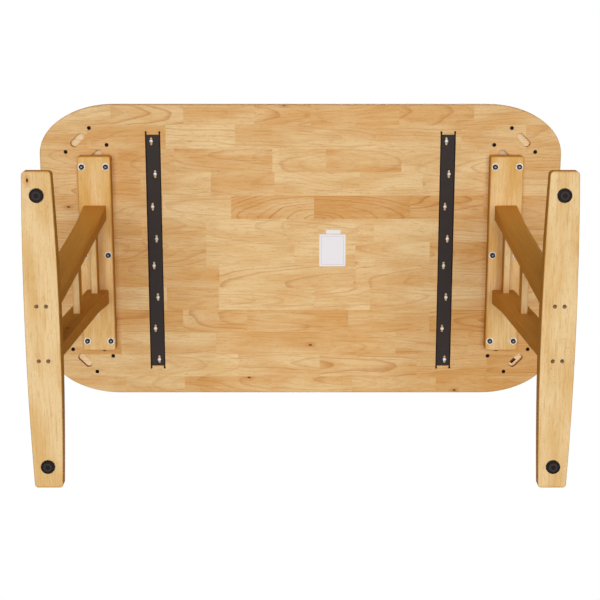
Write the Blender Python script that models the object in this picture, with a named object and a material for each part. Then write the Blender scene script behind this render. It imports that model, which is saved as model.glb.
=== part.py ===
"""Dining table: a laminated wooden top bolted to two knock-down trestles.

Frame: +X along the top, +Y across it, +Z up. The floor is z = 0 and the origin lies midway
between the trestles. Lengths are metres. Front means -Y and left means -X.
"""
import math

import bmesh
import bpy

# Clearance kept between pieces that touch or fit into one another
GAP = 0.0003

# Top
TABLE_HEIGHT = 0.700
TOP_LENGTH = 1.300
TOP_WIDTH = 0.750
TOP_THICKNESS = 0.025
TOP_CORNER_ALONG = 0.185
TOP_CORNER_ACROSS = 0.125
TOP_EDGE_RADIUS = 0.005

# Steel channels that keep the top flat, let into its underside; insets are from the top's ends
CHANNEL_INSET = 0.283
CHANNEL_LENGTH = 0.600
CHANNEL_WIDTH = 0.036
CHANNEL_DEPTH = 0.012
CHANNEL_SHEET = 0.002
CHANNEL_BEND = 0.003
CHANNEL_END_GAP = 0.001
KERF_WIDTH = 0.004
KERF_OVERRUN = 0.008
SLOT_LENGTH = 0.020
SLOT_WIDTH = 0.0055
SLOT_PITCH = 0.083
SLOT_MIDDLE_GAP = 0.0696
SLOT_STAGGER = 0.004
SLOTS_PER_HALF = 4
CHANNEL_SCREW_HEAD = 0.009
CHANNEL_SCREW_HEAD_HEIGHT = 0.0028
CHANNEL_SCREW_SHANK = 0.004
CHANNEL_SCREW_LENGTH = 0.018
PAN_HEAD_FACE = 0.60
PAN_HEAD_CROWN = 0.55

# Spare threaded inserts and routed pockets in the corners
INSERT_DIAMETER = 0.0095
INSERT_LENGTH = 0.013
INSERT_HOLE_EXTRA = 0.002
CORNER_INSET_ALONG = 0.1168
CORNER_INSET_ACROSS = 0.1093
CORNER_PAIR_SPACING = 0.0850
CORNER_ROW_SPACING = 0.0600
POCKET_LENGTH = 0.042
POCKET_WIDTH = 0.018
POCKET_DEPTH = 0.010

# Trestles
TRESTLE_INSET = 0.139
CLEAT_LENGTH = 0.500
CLEAT_WIDTH = 0.082
CLEAT_THICKNESS = 0.030
CLEAT_CORNER = 0.006
CLEAT_EDGE = 0.004
BOLT_SPACING_ALONG = 0.0596
BOLT_SPACING_ACROSS = 0.2245
BOLT_ENGAGEMENT = 0.010
BOLT_DIAMETER = 0.006
BOLT_CLEARANCE = 0.0005
BOLT_HEAD = 0.013
BOLT_HEAD_HEIGHT = 0.0045
BOLT_SOCKET = 0.0055
BOLT_SOCKET_DEPTH = 0.0025
BOLT_HEAD_FACE = 0.72
BOLT_HEAD_CROWN = 0.60
WASHER_DIAMETER = 0.018
WASHER_THICKNESS = 0.0015

# Posts lean towards each other on the way down
POST_WIDTH = 0.055
POST_THICKNESS_TOP = 0.037
POST_THICKNESS_FOOT = 0.034
POST_SPREAD_TOP = 0.1085
POST_SPREAD_FOOT = 0.0565
POST_INNER_ROUND = 0.004
POST_OUTER_ROUND = 0.016
POST_ROUND_AT_CLEAT = 0.002
POST_ROUND_FADE = 0.125

# Rungs housed in the posts, one close under the cleat and one a clear space below it
RUNG_WIDTH = 0.016
RUNG_DEPTH = 0.030
RUNG_EDGE = 0.002
RUNG_HOUSING = 0.010
RUNG_TO_CLEAT = 0.0147
RUNG_CLEAR_SPACE = 0.208

# Feet
FOOT_LENGTH = 0.654
FOOT_WIDTH_MIDDLE = 0.070
FOOT_WIDTH_END = 0.057
FOOT_THICKNESS = 0.030
FOOT_END_THICKNESS = 0.022
FOOT_SEAT_MARGIN = 0.012
FOOT_EDGE = 0.004
FOOT_END_ROUND = 0.006

# Glides pressed into the feet, inset from their ends
GLIDE_INSET = 0.047
GLIDE_DIAMETER = 0.029
GLIDE_HEIGHT = 0.005
GLIDE_CHAMFER = 0.0015
GLIDE_STEM_DIAMETER = 0.008
GLIDE_STEM_LENGTH = 0.012

# Wood screws that hold the posts to the feet and the cleats
SCREW_SPACING = 0.019
SCREW_SHANK = 0.0045
SCREW_HEAD = 0.008
SCREW_HEAD_HEIGHT = 0.003
SCREW_CLEARANCE = 0.0005
SCREW_BITE = 0.035
FOOT_COUNTERBORE_DEPTH = 0.014

# Largest share of a corner or of a thickness that a rounded arris takes, and the least share
# of the feet's arrises that is left at their ends
ARRIS_OF_CORNER = 0.80
ARRIS_OF_THICKNESS = 0.45
FOOT_EDGE_AT_END = 0.20

# Facets
TOP_CORNER_STEPS = 8
EDGE_STEPS = 3
SMALL_STEPS = 2
FASTENER_SIDES = 10
GLIDE_SIDES = 16
SMOOTH_ANGLE = math.radians(35)

# Heights and places that follow from the sizes above
UNDERSIDE = TABLE_HEIGHT - TOP_THICKNESS
CLEAT_TOP = UNDERSIDE - GAP
CLEAT_BOTTOM = CLEAT_TOP - CLEAT_THICKNESS
FOOT_BOTTOM = GLIDE_HEIGHT + GAP
FOOT_TOP = FOOT_BOTTOM + FOOT_THICKNESS
POST_BOTTOM = FOOT_TOP + GAP
POST_TOP = CLEAT_BOTTOM - GAP
UPPER_RUNG_HEIGHT = CLEAT_BOTTOM - RUNG_TO_CLEAT - RUNG_DEPTH
LOWER_RUNG_HEIGHT = UPPER_RUNG_HEIGHT - RUNG_CLEAR_SPACE - RUNG_DEPTH
FOOT_SEAT = POST_SPREAD_FOOT + POST_THICKNESS_FOOT / 2 + FOOT_SEAT_MARGIN
SLOT_FIRST = SLOT_MIDDLE_GAP / 2
TRESTLE_OFFSET = TOP_LENGTH / 2 - TRESTLE_INSET
CHANNEL_OFFSET = TOP_LENGTH / 2 - CHANNEL_INSET
CORNER_CENTRE_ALONG = TOP_LENGTH / 2 - CORNER_INSET_ALONG
CORNER_CENTRE_ACROSS = TOP_WIDTH / 2 - CORNER_INSET_ACROSS
GLIDE_SPREAD = FOOT_LENGTH / 2 - GLIDE_INSET

SIDES = (("left", -1), ("right", 1))
ENDS = (("front", -1), ("back", 1))


def material(name, colour, roughness, metallic=0.0):
    """A plain surface with one colour."""
    surface = bpy.data.materials.new(name)
    surface.use_nodes = True
    shader = surface.node_tree.nodes["Principled BSDF"]
    shader.inputs["Base Color"].default_value = (*colour, 1.0)
    shader.inputs["Roughness"].default_value = roughness
    shader.inputs["Metallic"].default_value = metallic
    return surface


def add_object(name, shape, surface, parent):
    """Turn a bmesh into a named object under its parent."""
    mesh = bpy.data.meshes.new(name)
    bmesh.ops.recalc_face_normals(shape, faces=shape.faces)
    shape.to_mesh(mesh)
    shape.free()
    mesh.shade_smooth()
    mesh.set_sharp_from_angle(angle=SMOOTH_ANGLE)
    if surface:
        mesh.materials.append(surface)
    piece = bpy.data.objects.new(name, mesh)
    piece.parent = parent
    bpy.context.collection.objects.link(piece)
    return piece


def add_copies(name, shape, surface, parent, places, z):
    """Numbered copies of a piece that share one mesh, at places on one level."""
    first = add_object(f"{name}_1", shape, surface, parent)
    first.location = (*places[0], z)
    for number, place in enumerate(places[1:], start=2):
        copy = bpy.data.objects.new(f"{name}_{number}", first.data)
        copy.parent = parent
        copy.location = (*place, z)
        bpy.context.collection.objects.link(copy)


def add_empty(name, x, parent=None):
    """A reference frame on the floor."""
    frame = bpy.data.objects.new(name, None)
    frame.location = (x, 0.0, 0.0)
    frame.parent = parent
    bpy.context.collection.objects.link(frame)
    return frame


def combine(piece, name, shape, operation):
    """Join a shape to a piece or take it away, and keep the shape as a hidden guide."""
    tool = add_object(f"{piece.name}_{name}", shape, None, piece.parent)
    tool.hide_render = True
    tool.display_type = "WIRE"
    step = piece.modifiers.new(name, "BOOLEAN")
    step.operation = operation
    step.solver = "EXACT"
    step.object = tool


def cut(piece, name, shape):
    """Take a shape away from a piece."""
    combine(piece, name, shape, "DIFFERENCE")


def loft(rings, shape=None, closed=False):
    """A solid through rings of equally many points; a closed one joins its last ring to its first."""
    shape = shape or bmesh.new()
    loops = [[shape.verts.new(point) for point in ring] for ring in rings]
    pairs = list(zip(loops, loops[1:]))
    if closed:
        pairs.append((loops[-1], loops[0]))
    count = len(rings[0])
    for lower, upper in pairs:
        for i in range(count):
            j = (i + 1) % count
            shape.faces.new((lower[i], lower[j], upper[j], upper[i]))
    if not closed:
        shape.faces.new(reversed(loops[0]))
        shape.faces.new(loops[-1])
    return shape


def circle(x, y, z, radius, sides):
    """A level ring."""
    turns = [2 * math.pi * (i + 0.5) / sides for i in range(sides)]
    return [(x + radius * math.cos(turn), y + radius * math.sin(turn), z) for turn in turns]


def turn(profile, sides, places=((0.0, 0.0),), closed=False):
    """Turned solid at each place; the profile is a list of radius and height, from the bottom up."""
    shape = bmesh.new()
    for x, y in places:
        loft([circle(x, y, z, radius, sides) for radius, z in profile], shape, closed)
    return shape


def arc(x, y, radius_x, radius_y, start, sweep, steps):
    """Points along an elliptical arc."""
    angles = [start + sweep * i / steps for i in range(steps + 1)]
    return [(x + radius_x * math.cos(angle), y + radius_y * math.sin(angle)) for angle in angles]


def rounded_rectangle(half_x, half_y, corner_x, corner_y, steps):
    """Outline with a quarter ellipse at each corner."""
    outline = []
    for quarter, (sx, sy) in enumerate(((1, 1), (-1, 1), (-1, -1), (1, -1))):
        middle = (sx * (half_x - corner_x), sy * (half_y - corner_y))
        outline += arc(*middle, corner_x, corner_y, quarter * math.pi / 2, math.pi / 2, steps)
    return outline


def oblong(x, y, length, width, heading, steps):
    """Round-ended slot outline, its length along the heading."""
    reach = (length - width) / 2
    along = (math.cos(heading) * reach, math.sin(heading) * reach)
    first = arc(x + along[0], y + along[1], width / 2, width / 2, heading - math.pi / 2, math.pi, steps)
    second = arc(x - along[0], y - along[1], width / 2, width / 2, heading + math.pi / 2, math.pi, steps)
    return first + second


def prism(outline, low, high, shape=None):
    """Upright extrusion of an outline."""
    return loft([[(x, y, z) for x, y in outline] for z in (low, high)], shape)


def box(low, high, shape=None):
    """Block between two opposite corners."""
    outline = [(low[0], low[1]), (high[0], low[1]), (high[0], high[1]), (low[0], high[1])]
    return prism(outline, low[2], high[2], shape)


def slab(half_x, half_y, corner_x, corner_y, low, high, edge, corner_steps):
    """Level board with rounded corners and rounded arrises."""
    edge = min(edge, ARRIS_OF_CORNER * min(corner_x, corner_y), ARRIS_OF_THICKNESS * (high - low))
    rings = []
    for step in range(2 * EDGE_STEPS + 2):
        upper = step > EDGE_STEPS
        angle = math.pi / 2 * (step - upper) / EDGE_STEPS
        inset = edge * (1 - abs(math.sin(angle)))
        rise = edge * (1 - abs(math.cos(angle)))
        z = high - rise if upper else low + rise
        sizes = [size - inset for size in (half_x, half_y, corner_x, corner_y)]
        rings.append([(x, y, z) for x, y in rounded_rectangle(*sizes, corner_steps)])
    return loft(rings)


def grid(xs, ys):
    """Every pair of an x and a y."""
    return [(x, y) for x in xs for y in ys]


def slot_places():
    """Middles of one channel's slots; they step from side to side along it."""
    half = [SLOT_FIRST + SLOT_PITCH * i for i in range(SLOTS_PER_HALF)]
    rows = sorted([-y for y in half] + half)
    return [(SLOT_STAGGER if i % 2 else -SLOT_STAGGER, y) for i, y in enumerate(rows)]


def corner_frame(sx, sy):
    """Middle of one corner's fittings and its unit directions outwards and across."""
    middle = (sx * CORNER_CENTRE_ALONG, sy * CORNER_CENTRE_ACROSS)
    diagonal = math.sqrt(0.5)
    return middle, (sx * diagonal, sy * diagonal), (sx * diagonal, -sy * diagonal)


def corner_inserts(sx, sy):
    """Three spare inserts of one corner: a pair on the outer row and one on the inner row."""
    middle, out, across = corner_frame(sx, sy)
    places = []
    for row, side in ((1, -1), (1, 1), (-1, -1)):
        reach = row * CORNER_ROW_SPACING / 2
        shift = side * CORNER_PAIR_SPACING / 2
        places.append(tuple(middle[k] + out[k] * reach + across[k] * shift for k in (0, 1)))
    return places


def corner_pockets(sx, sy):
    """Outlines of the two routed pockets of one corner."""
    middle, out, across = corner_frame(sx, sy)
    heading = math.atan2(across[1], across[0])
    outlines = []
    for row in (1, -1):
        reach = row * CORNER_ROW_SPACING / 2
        spot = [middle[k] + out[k] * reach for k in (0, 1)]
        outlines.append(oblong(*spot, POCKET_LENGTH, POCKET_WIDTH, heading, 4 * SMALL_STEPS))
    return outlines


def bolt_places():
    """Bolts of one cleat, in its trestle's frame."""
    half = BOLT_SPACING_ALONG / 2
    return grid((-half, half), (-BOLT_SPACING_ACROSS, 0.0, BOLT_SPACING_ACROSS))


def screw_places(spread):
    """Two screws for each of a trestle's posts."""
    half = SCREW_SPACING / 2
    return grid((-half, half), (-spread, spread))


def along_post(z, at_foot, at_top):
    """A size of the post at a height."""
    return at_foot + (at_top - at_foot) * (z - POST_BOTTOM) / (POST_TOP - POST_BOTTOM)


def post_inner_face(z):
    """Distance of a post's inner face from the trestle's middle."""
    spread = along_post(z, POST_SPREAD_FOOT, POST_SPREAD_TOP)
    return spread - along_post(z, POST_THICKNESS_FOOT, POST_THICKNESS_TOP) / 2


def make_top(wood, parent):
    """Board with the channel recesses, pockets and insert holes cut into its underside."""
    half_x, half_y = TOP_LENGTH / 2, TOP_WIDTH / 2
    shape = slab(half_x, half_y, TOP_CORNER_ALONG, TOP_CORNER_ACROSS, UNDERSIDE, TABLE_HEIGHT,
                 TOP_EDGE_RADIUS, TOP_CORNER_STEPS)
    top = add_object("table_top", shape, wood, parent)
    below = UNDERSIDE - TOP_THICKNESS
    recesses, kerfs, holes = bmesh.new(), bmesh.new(), bmesh.new()
    recess = (CHANNEL_WIDTH / 2 + GAP, CHANNEL_LENGTH / 2 + CHANNEL_END_GAP)
    flange = CHANNEL_WIDTH / 2 - CHANNEL_SHEET / 2
    kerf_length = CHANNEL_LENGTH + 2 * KERF_OVERRUN
    pilot = CHANNEL_SCREW_SHANK / 2 + GAP
    for _, side in SIDES:
        x = side * CHANNEL_OFFSET
        box((x - recess[0], -recess[1], below),
            (x + recess[0], recess[1], UNDERSIDE + CHANNEL_SHEET + GAP), recesses)
        for lane in (-flange, flange):
            line = oblong(x + lane, 0.0, kerf_length, KERF_WIDTH, math.pi / 2, 2 * SMALL_STEPS)
            prism(line, below, UNDERSIDE + CHANNEL_DEPTH + GAP, kerfs)
        for offset, y in slot_places():
            ring = [circle(x + offset, y, z, pilot, FASTENER_SIDES)
                    for z in (below, UNDERSIDE + CHANNEL_SCREW_LENGTH + GAP)]
            loft(ring, holes)
        for along, y in bolt_places():
            ring = [circle(side * TRESTLE_OFFSET + along, y, z, BOLT_DIAMETER / 2 + GAP, FASTENER_SIDES)
                    for z in (below, UNDERSIDE + BOLT_ENGAGEMENT + GAP)]
            loft(ring, holes)
    insert_hole = UNDERSIDE + INSERT_LENGTH + INSERT_HOLE_EXTRA
    for _, sx in SIDES:
        for _, sy in ENDS:
            for x, y in corner_inserts(sx, sy):
                ring = [circle(x, y, z, INSERT_DIAMETER / 2 + GAP, FASTENER_SIDES)
                        for z in (below, insert_hole)]
                loft(ring, holes)
            for outline in corner_pockets(sx, sy):
                prism(outline, below, UNDERSIDE + POCKET_DEPTH, holes)
    cut(top, "channel_recesses", recesses)
    cut(top, "kerfs", kerfs)
    cut(top, "holes", holes)


def channel_section():
    """U outline across a channel, as x and height above the underside."""
    half, sheet = CHANNEL_WIDTH / 2, CHANNEL_SHEET
    outer = CHANNEL_BEND
    inner = max(outer - sheet, sheet / 4)
    quarter = math.pi / 2
    outline = [(-half, CHANNEL_DEPTH)]
    outline += arc(outer - half, outer, outer, outer, math.pi, quarter, SMALL_STEPS)
    outline += arc(half - outer, outer, outer, outer, 3 * quarter, quarter, SMALL_STEPS)
    outline += [(half, CHANNEL_DEPTH), (half - sheet, CHANNEL_DEPTH)]
    turn_in = half - sheet - inner
    outline += arc(turn_in, sheet + inner, inner, inner, 0.0, -quarter, SMALL_STEPS)
    outline += arc(-turn_in, sheet + inner, inner, inner, -quarter, -quarter, SMALL_STEPS)
    outline.append((sheet - half, CHANNEL_DEPTH))
    return outline


def make_channel(side_name, side, steel, parent):
    """Pressed channel with staggered slots and, seated in them, its pan-head screws."""
    x = side * CHANNEL_OFFSET
    half = CHANNEL_LENGTH / 2
    section = channel_section()
    shape = loft([[(x + u, y, UNDERSIDE + v) for u, v in section] for y in (-half, half)])
    channel = add_object(f"channel_{side_name}", shape, steel, parent)
    slots = bmesh.new()
    for offset, y in slot_places():
        outline = oblong(x + offset, y, SLOT_LENGTH, SLOT_WIDTH, math.pi / 2, 2 * SMALL_STEPS)
        prism(outline, UNDERSIDE - CHANNEL_SHEET, UNDERSIDE + 2 * CHANNEL_SHEET, slots)
    cut(channel, "slots", slots)
    head, shank = CHANNEL_SCREW_HEAD / 2, CHANNEL_SCREW_SHANK / 2
    seat = UNDERSIDE + CHANNEL_SHEET / 4
    face = UNDERSIDE - CHANNEL_SCREW_HEAD_HEIGHT
    crown = face + PAN_HEAD_CROWN * CHANNEL_SCREW_HEAD_HEIGHT
    profile = [(PAN_HEAD_FACE * head, face), (head, crown), (head, seat), (shank, seat),
               (shank, UNDERSIDE + CHANNEL_SCREW_LENGTH)]
    places = [(x + offset, y) for offset, y in slot_places()]
    combine(channel, "screws", turn(profile, FASTENER_SIDES, places), "UNION")


def make_corner_inserts(end_name, end, side_name, side, steel, parent):
    """Spare threaded inserts of one corner, let in just below the surface."""
    outer, bore = INSERT_DIAMETER / 2, BOLT_DIAMETER / 2 + GAP
    profile = [(bore, 0.0), (outer, 0.0), (outer, INSERT_LENGTH), (bore, INSERT_LENGTH)]
    add_copies(f"corner_insert_{end_name}_{side_name}", turn(profile, FASTENER_SIDES, closed=True), steel,
               parent, corner_inserts(side, end), UNDERSIDE + GAP)


def make_cleat(side_name, surfaces, trestle):
    """Top plate of a trestle and the washered bolts that hold it to the top."""
    half_x, half_y = CLEAT_WIDTH / 2, CLEAT_LENGTH / 2
    shape = slab(half_x, half_y, CLEAT_CORNER, CLEAT_CORNER, CLEAT_BOTTOM, CLEAT_TOP, CLEAT_EDGE,
                 SMALL_STEPS)
    cleat = add_object(f"cleat_{side_name}", shape, surfaces["wood"], trestle)
    shank = BOLT_DIAMETER / 2
    hole = shank + BOLT_CLEARANCE
    past = CLEAT_THICKNESS / 2
    span = [(hole, CLEAT_BOTTOM - past), (hole, CLEAT_TOP + past)]
    cut(cleat, "bolt_holes", turn(span, FASTENER_SIDES, bolt_places()))
    head, neck = SCREW_HEAD / 2 + GAP, SCREW_SHANK / 2 + SCREW_CLEARANCE
    sink = CLEAT_TOP - GAP - SCREW_HEAD_HEIGHT
    span = [(neck, CLEAT_BOTTOM - past), (neck, sink), (head, CLEAT_TOP - GAP), (head, CLEAT_TOP + past)]
    cut(cleat, "screw_holes", turn(span, FASTENER_SIDES, screw_places(POST_SPREAD_TOP)))

    seat = CLEAT_BOTTOM - GAP
    rest = -WASHER_THICKNESS
    face = rest - BOLT_HEAD_HEIGHT
    socket, head, washer = BOLT_SOCKET / 2, BOLT_HEAD / 2, WASHER_DIAMETER / 2
    crown = face + BOLT_HEAD_CROWN * BOLT_HEAD_HEIGHT
    profile = [(socket, face + BOLT_SOCKET_DEPTH), (socket, face), (BOLT_HEAD_FACE * head, face),
               (head, crown), (head, rest), (washer, rest), (washer, 0.0), (shank, 0.0),
               (shank, UNDERSIDE + BOLT_ENGAGEMENT - seat)]
    add_copies(f"cleat_bolt_{side_name}", turn(profile, FASTENER_SIDES), surfaces["black_steel"],
               trestle, bolt_places(), seat)

    top = CLEAT_TOP - GAP
    head, shank = SCREW_HEAD / 2, SCREW_SHANK / 2
    profile = [(shank, cleat_screw_tip() - top), (shank, -SCREW_HEAD_HEIGHT), (head, 0.0)]
    add_copies(f"post_screw_{side_name}", turn(profile, FASTENER_SIDES), surfaces["zinc"], trestle,
               screw_places(POST_SPREAD_TOP), top)


def post_section(z, end):
    """Level outline of a post: rounder on its outer face, square where it meets the cleat."""
    half = POST_WIDTH / 2
    thick = along_post(z, POST_THICKNESS_FOOT, POST_THICKNESS_TOP)
    inner = post_inner_face(z)
    fade = min(1.0, (POST_TOP - z) / POST_ROUND_FADE)
    outer_round = POST_ROUND_AT_CLEAT + (POST_OUTER_ROUND - POST_ROUND_AT_CLEAT) * fade
    inner_round = POST_ROUND_AT_CLEAT + (POST_INNER_ROUND - POST_ROUND_AT_CLEAT) * fade
    quarter = math.pi / 2
    outline = []
    for turns, (sx, at_outer) in enumerate(((1, 1), (-1, 1), (-1, 0), (1, 0))):
        radius = outer_round if at_outer else inner_round
        y = inner + thick - radius if at_outer else inner + radius
        outline += arc(sx * (half - radius), y, radius, radius, turns * quarter, quarter, 2 * SMALL_STEPS)
    return [(x, end * y, z) for x, y in outline]


def make_post(name, end, wood, trestle):
    """Leaning post with two housings for the rungs and pilot holes in both ends."""
    heights = [POST_BOTTOM, POST_TOP - POST_ROUND_FADE, POST_TOP - POST_ROUND_FADE / 2, POST_TOP]
    post = add_object(name, loft([post_section(z, end) for z in heights]), wood, trestle)
    housings, pilots = bmesh.new(), bmesh.new()
    half = RUNG_WIDTH / 2 + GAP
    for height in (LOWER_RUNG_HEIGHT, UPPER_RUNG_HEIGHT):
        reach = sorted((0.0, end * (rung_reach(height) + GAP)))
        box((-half, reach[0], height - GAP), (half, reach[1], height + RUNG_DEPTH + GAP), housings)
    cut(post, "housings", housings)
    shank = SCREW_SHANK / 2 + GAP
    lower = foot_screw_tip() + GAP
    upper = cleat_screw_tip() - GAP
    past = SCREW_BITE / 2
    for x in (-SCREW_SPACING / 2, SCREW_SPACING / 2):
        for spread, low, high in ((POST_SPREAD_FOOT, POST_BOTTOM - past, lower),
                                  (POST_SPREAD_TOP, upper, POST_TOP + past)):
            loft([circle(x, end * spread, z, shank, FASTENER_SIDES) for z in (low, high)], pilots)
    cut(post, "pilot_holes", pilots)


def rung_reach(height):
    """How far a rung runs from the trestle's middle into each post."""
    return post_inner_face(height + RUNG_DEPTH / 2) + RUNG_HOUSING


def make_rung(name, height, wood, trestle):
    """Slat that ties the two posts together."""
    reach = rung_reach(height)
    middle = height + RUNG_DEPTH / 2
    section = rounded_rectangle(RUNG_WIDTH / 2, RUNG_DEPTH / 2, RUNG_EDGE, RUNG_EDGE, SMALL_STEPS)
    shape = loft([[(x, y, middle + z) for x, z in section] for y in (-reach, reach)])
    add_object(name, shape, wood, trestle)


def foot_screw_tip():
    """Height that the screws from the foot reach in the posts."""
    return POST_BOTTOM + SCREW_BITE


def cleat_screw_tip():
    """Height that the screws from the cleat reach down to in the posts."""
    return POST_TOP - SCREW_BITE


def foot_section(y, inset):
    """Upright outline across a foot: widest in the middle, thinner towards its ends."""
    half = FOOT_LENGTH / 2
    share = (y / half) ** 2
    half_x = (FOOT_WIDTH_MIDDLE + (FOOT_WIDTH_END - FOOT_WIDTH_MIDDLE) * share) / 2 - inset
    slope = max(0.0, abs(y) - FOOT_SEAT) / (half - FOOT_SEAT)
    thick = FOOT_THICKNESS + (FOOT_END_THICKNESS - FOOT_THICKNESS) * slope
    half_z = thick / 2 - inset
    edge = max(FOOT_EDGE_AT_END * FOOT_EDGE, FOOT_EDGE - inset)
    middle = FOOT_BOTTOM + thick / 2
    outline = rounded_rectangle(half_x, half_z, edge, edge, SMALL_STEPS)
    return [(x, y, middle + z) for x, z in outline]


def foot_stations():
    """Places along a foot, each with how far its rounded end draws the outline in."""
    half = FOOT_LENGTH / 2
    span = half - FOOT_END_ROUND - FOOT_SEAT
    stations = [(0.0, 0.0)] + [(FOOT_SEAT + span * third / 3, 0.0) for third in range(3)]
    for step in range(EDGE_STEPS + 1):
        angle = math.pi / 2 * step / EDGE_STEPS
        y = half - FOOT_END_ROUND + FOOT_END_ROUND * math.sin(angle)
        stations.append((y, FOOT_END_ROUND * (1 - math.cos(angle))))
    return [(-y, inset) for y, inset in reversed(stations[1:])] + stations


def make_foot(side_name, surfaces, trestle):
    """Floor rail of a trestle, bored from below for the post screws and the glide stems."""
    shape = loft([foot_section(y, inset) for y, inset in foot_stations()])
    foot = add_object(f"foot_{side_name}", shape, surfaces["wood"], trestle)
    bore, neck = SCREW_HEAD / 2 + GAP, SCREW_SHANK / 2 + SCREW_CLEARANCE
    floor = FOOT_BOTTOM + FOOT_COUNTERBORE_DEPTH
    past = FOOT_THICKNESS / 2
    span = [(bore, FOOT_BOTTOM - past), (bore, floor), (neck, floor), (neck, FOOT_TOP + past)]
    cut(foot, "screw_holes", turn(span, FASTENER_SIDES, screw_places(POST_SPREAD_FOOT)))
    stem = GLIDE_STEM_DIAMETER / 2 + GAP
    span = [(stem, FOOT_BOTTOM - past), (stem, FOOT_BOTTOM + GLIDE_STEM_LENGTH + GAP)]
    cut(foot, "stem_holes", turn(span, FASTENER_SIDES, ((0.0, -GLIDE_SPREAD), (0.0, GLIDE_SPREAD))))

    head, shank = SCREW_HEAD / 2, SCREW_SHANK / 2
    seat = floor - GAP
    profile = [(head, -SCREW_HEAD_HEIGHT), (head, 0.0), (shank, 0.0), (shank, foot_screw_tip() - seat)]
    add_copies(f"foot_screw_{side_name}", turn(profile, FASTENER_SIDES), surfaces["zinc"], trestle,
               screw_places(POST_SPREAD_FOOT), seat)


def make_glide(name, end, plastic, trestle):
    """Moulded glide: a chamfered disc on a stem."""
    disc, stem = GLIDE_DIAMETER / 2, GLIDE_STEM_DIAMETER / 2
    profile = [(disc - GLIDE_CHAMFER, 0.0), (disc, GLIDE_CHAMFER), (disc, GLIDE_HEIGHT),
               (stem, GLIDE_HEIGHT), (stem, FOOT_BOTTOM + GLIDE_STEM_LENGTH)]
    glide = add_object(name, turn(profile, GLIDE_SIDES), plastic, trestle)
    glide.location = (0.0, end * GLIDE_SPREAD, 0.0)


def make_table():
    """All pieces, under one frame for the table and one for each trestle."""
    surfaces = {
        "wood": material("wood", (0.62, 0.37, 0.14), 0.45),
        "steel": material("painted_steel", (0.035, 0.028, 0.026), 0.5),
        "zinc": material("zinc", (0.72, 0.72, 0.70), 0.3, 1.0),
        "black_steel": material("black_steel", (0.02, 0.02, 0.022), 0.4, 0.6),
        "plastic": material("plastic", (0.03, 0.027, 0.027), 0.6),
    }
    table = add_empty("table", 0.0)
    make_top(surfaces["wood"], table)
    for side_name, side in SIDES:
        make_channel(side_name, side, surfaces["steel"], table)
        trestle = add_empty(f"trestle_{side_name}", side * TRESTLE_OFFSET, table)
        make_cleat(side_name, surfaces, trestle)
        make_foot(side_name, surfaces, trestle)
        make_rung(f"upper_rung_{side_name}", UPPER_RUNG_HEIGHT, surfaces["wood"], trestle)
        make_rung(f"lower_rung_{side_name}", LOWER_RUNG_HEIGHT, surfaces["wood"], trestle)
        for end_name, end in ENDS:
            make_post(f"post_{end_name}_{side_name}", end, surfaces["wood"], trestle)
            make_glide(f"glide_{end_name}_{side_name}", end, surfaces["plastic"], trestle)
            make_corner_inserts(end_name, end, side_name, side, surfaces["black_steel"], table)


for old in list(bpy.data.objects):
    bpy.data.objects.remove(old, do_unlink=True)
make_table()
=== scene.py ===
"""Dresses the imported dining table: staved top, shaped trestles, steel fittings and a plain stage.

Frame: +X along the top, +Y across it, +Z up, floor at z = 0, metres. Front is -Y, left is -X.
The picture is taken from under the floor, so the floor lets light and sight through from below.
"""
import math
import random

import bmesh
import bpy
from bpy.props import FloatProperty, FloatVectorProperty, IntProperty, PointerProperty
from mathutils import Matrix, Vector


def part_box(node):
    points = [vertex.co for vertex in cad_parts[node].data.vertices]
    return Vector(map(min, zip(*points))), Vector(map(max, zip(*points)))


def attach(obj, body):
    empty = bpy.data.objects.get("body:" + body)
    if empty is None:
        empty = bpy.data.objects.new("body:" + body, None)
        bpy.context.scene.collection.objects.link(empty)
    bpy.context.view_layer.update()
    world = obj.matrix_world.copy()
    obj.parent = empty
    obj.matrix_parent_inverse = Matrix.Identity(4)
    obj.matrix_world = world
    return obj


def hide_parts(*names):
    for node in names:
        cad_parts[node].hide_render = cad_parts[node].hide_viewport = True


bl_info = {
    "name": "Dining table",
    "version": (1, 0, 0),
    "blender": (4, 5, 0),
    "location": "View3D > Sidebar > Table",
    "description": "Dresses a packed dining table with its wood, steel and plastic pieces",
    "category": "Object",
}

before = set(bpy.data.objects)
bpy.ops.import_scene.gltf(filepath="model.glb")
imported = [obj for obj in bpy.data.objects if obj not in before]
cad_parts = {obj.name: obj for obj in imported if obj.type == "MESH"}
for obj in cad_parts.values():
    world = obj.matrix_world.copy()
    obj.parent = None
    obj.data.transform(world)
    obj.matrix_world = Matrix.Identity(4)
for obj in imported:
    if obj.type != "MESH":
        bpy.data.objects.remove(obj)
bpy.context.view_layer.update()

SIDES = (("left", -1), ("right", 1))
ENDS = (("front", -1), ("back", 1))
QUARTER = math.pi / 2
SHARP = math.radians(32)

TOP_LOW, TOP_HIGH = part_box("table_top")
CLEAT_LOW, CLEAT_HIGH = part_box("cleat_right")
FOOT_LOW, FOOT_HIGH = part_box("foot_right")
POST_LOW, POST_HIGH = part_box("post_back_right")
UNDERSIDE = TOP_LOW.z
TRESTLE_X = (CLEAT_LOW.x + CLEAT_HIGH.x) / 2

# Radius at the point of a turned piece, gap between faces that lie on each other, and how far a cutter
# reaches past the face that it enters
POINT = 0.0001
HAIR = 0.0002
PAST = 0.01

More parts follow.
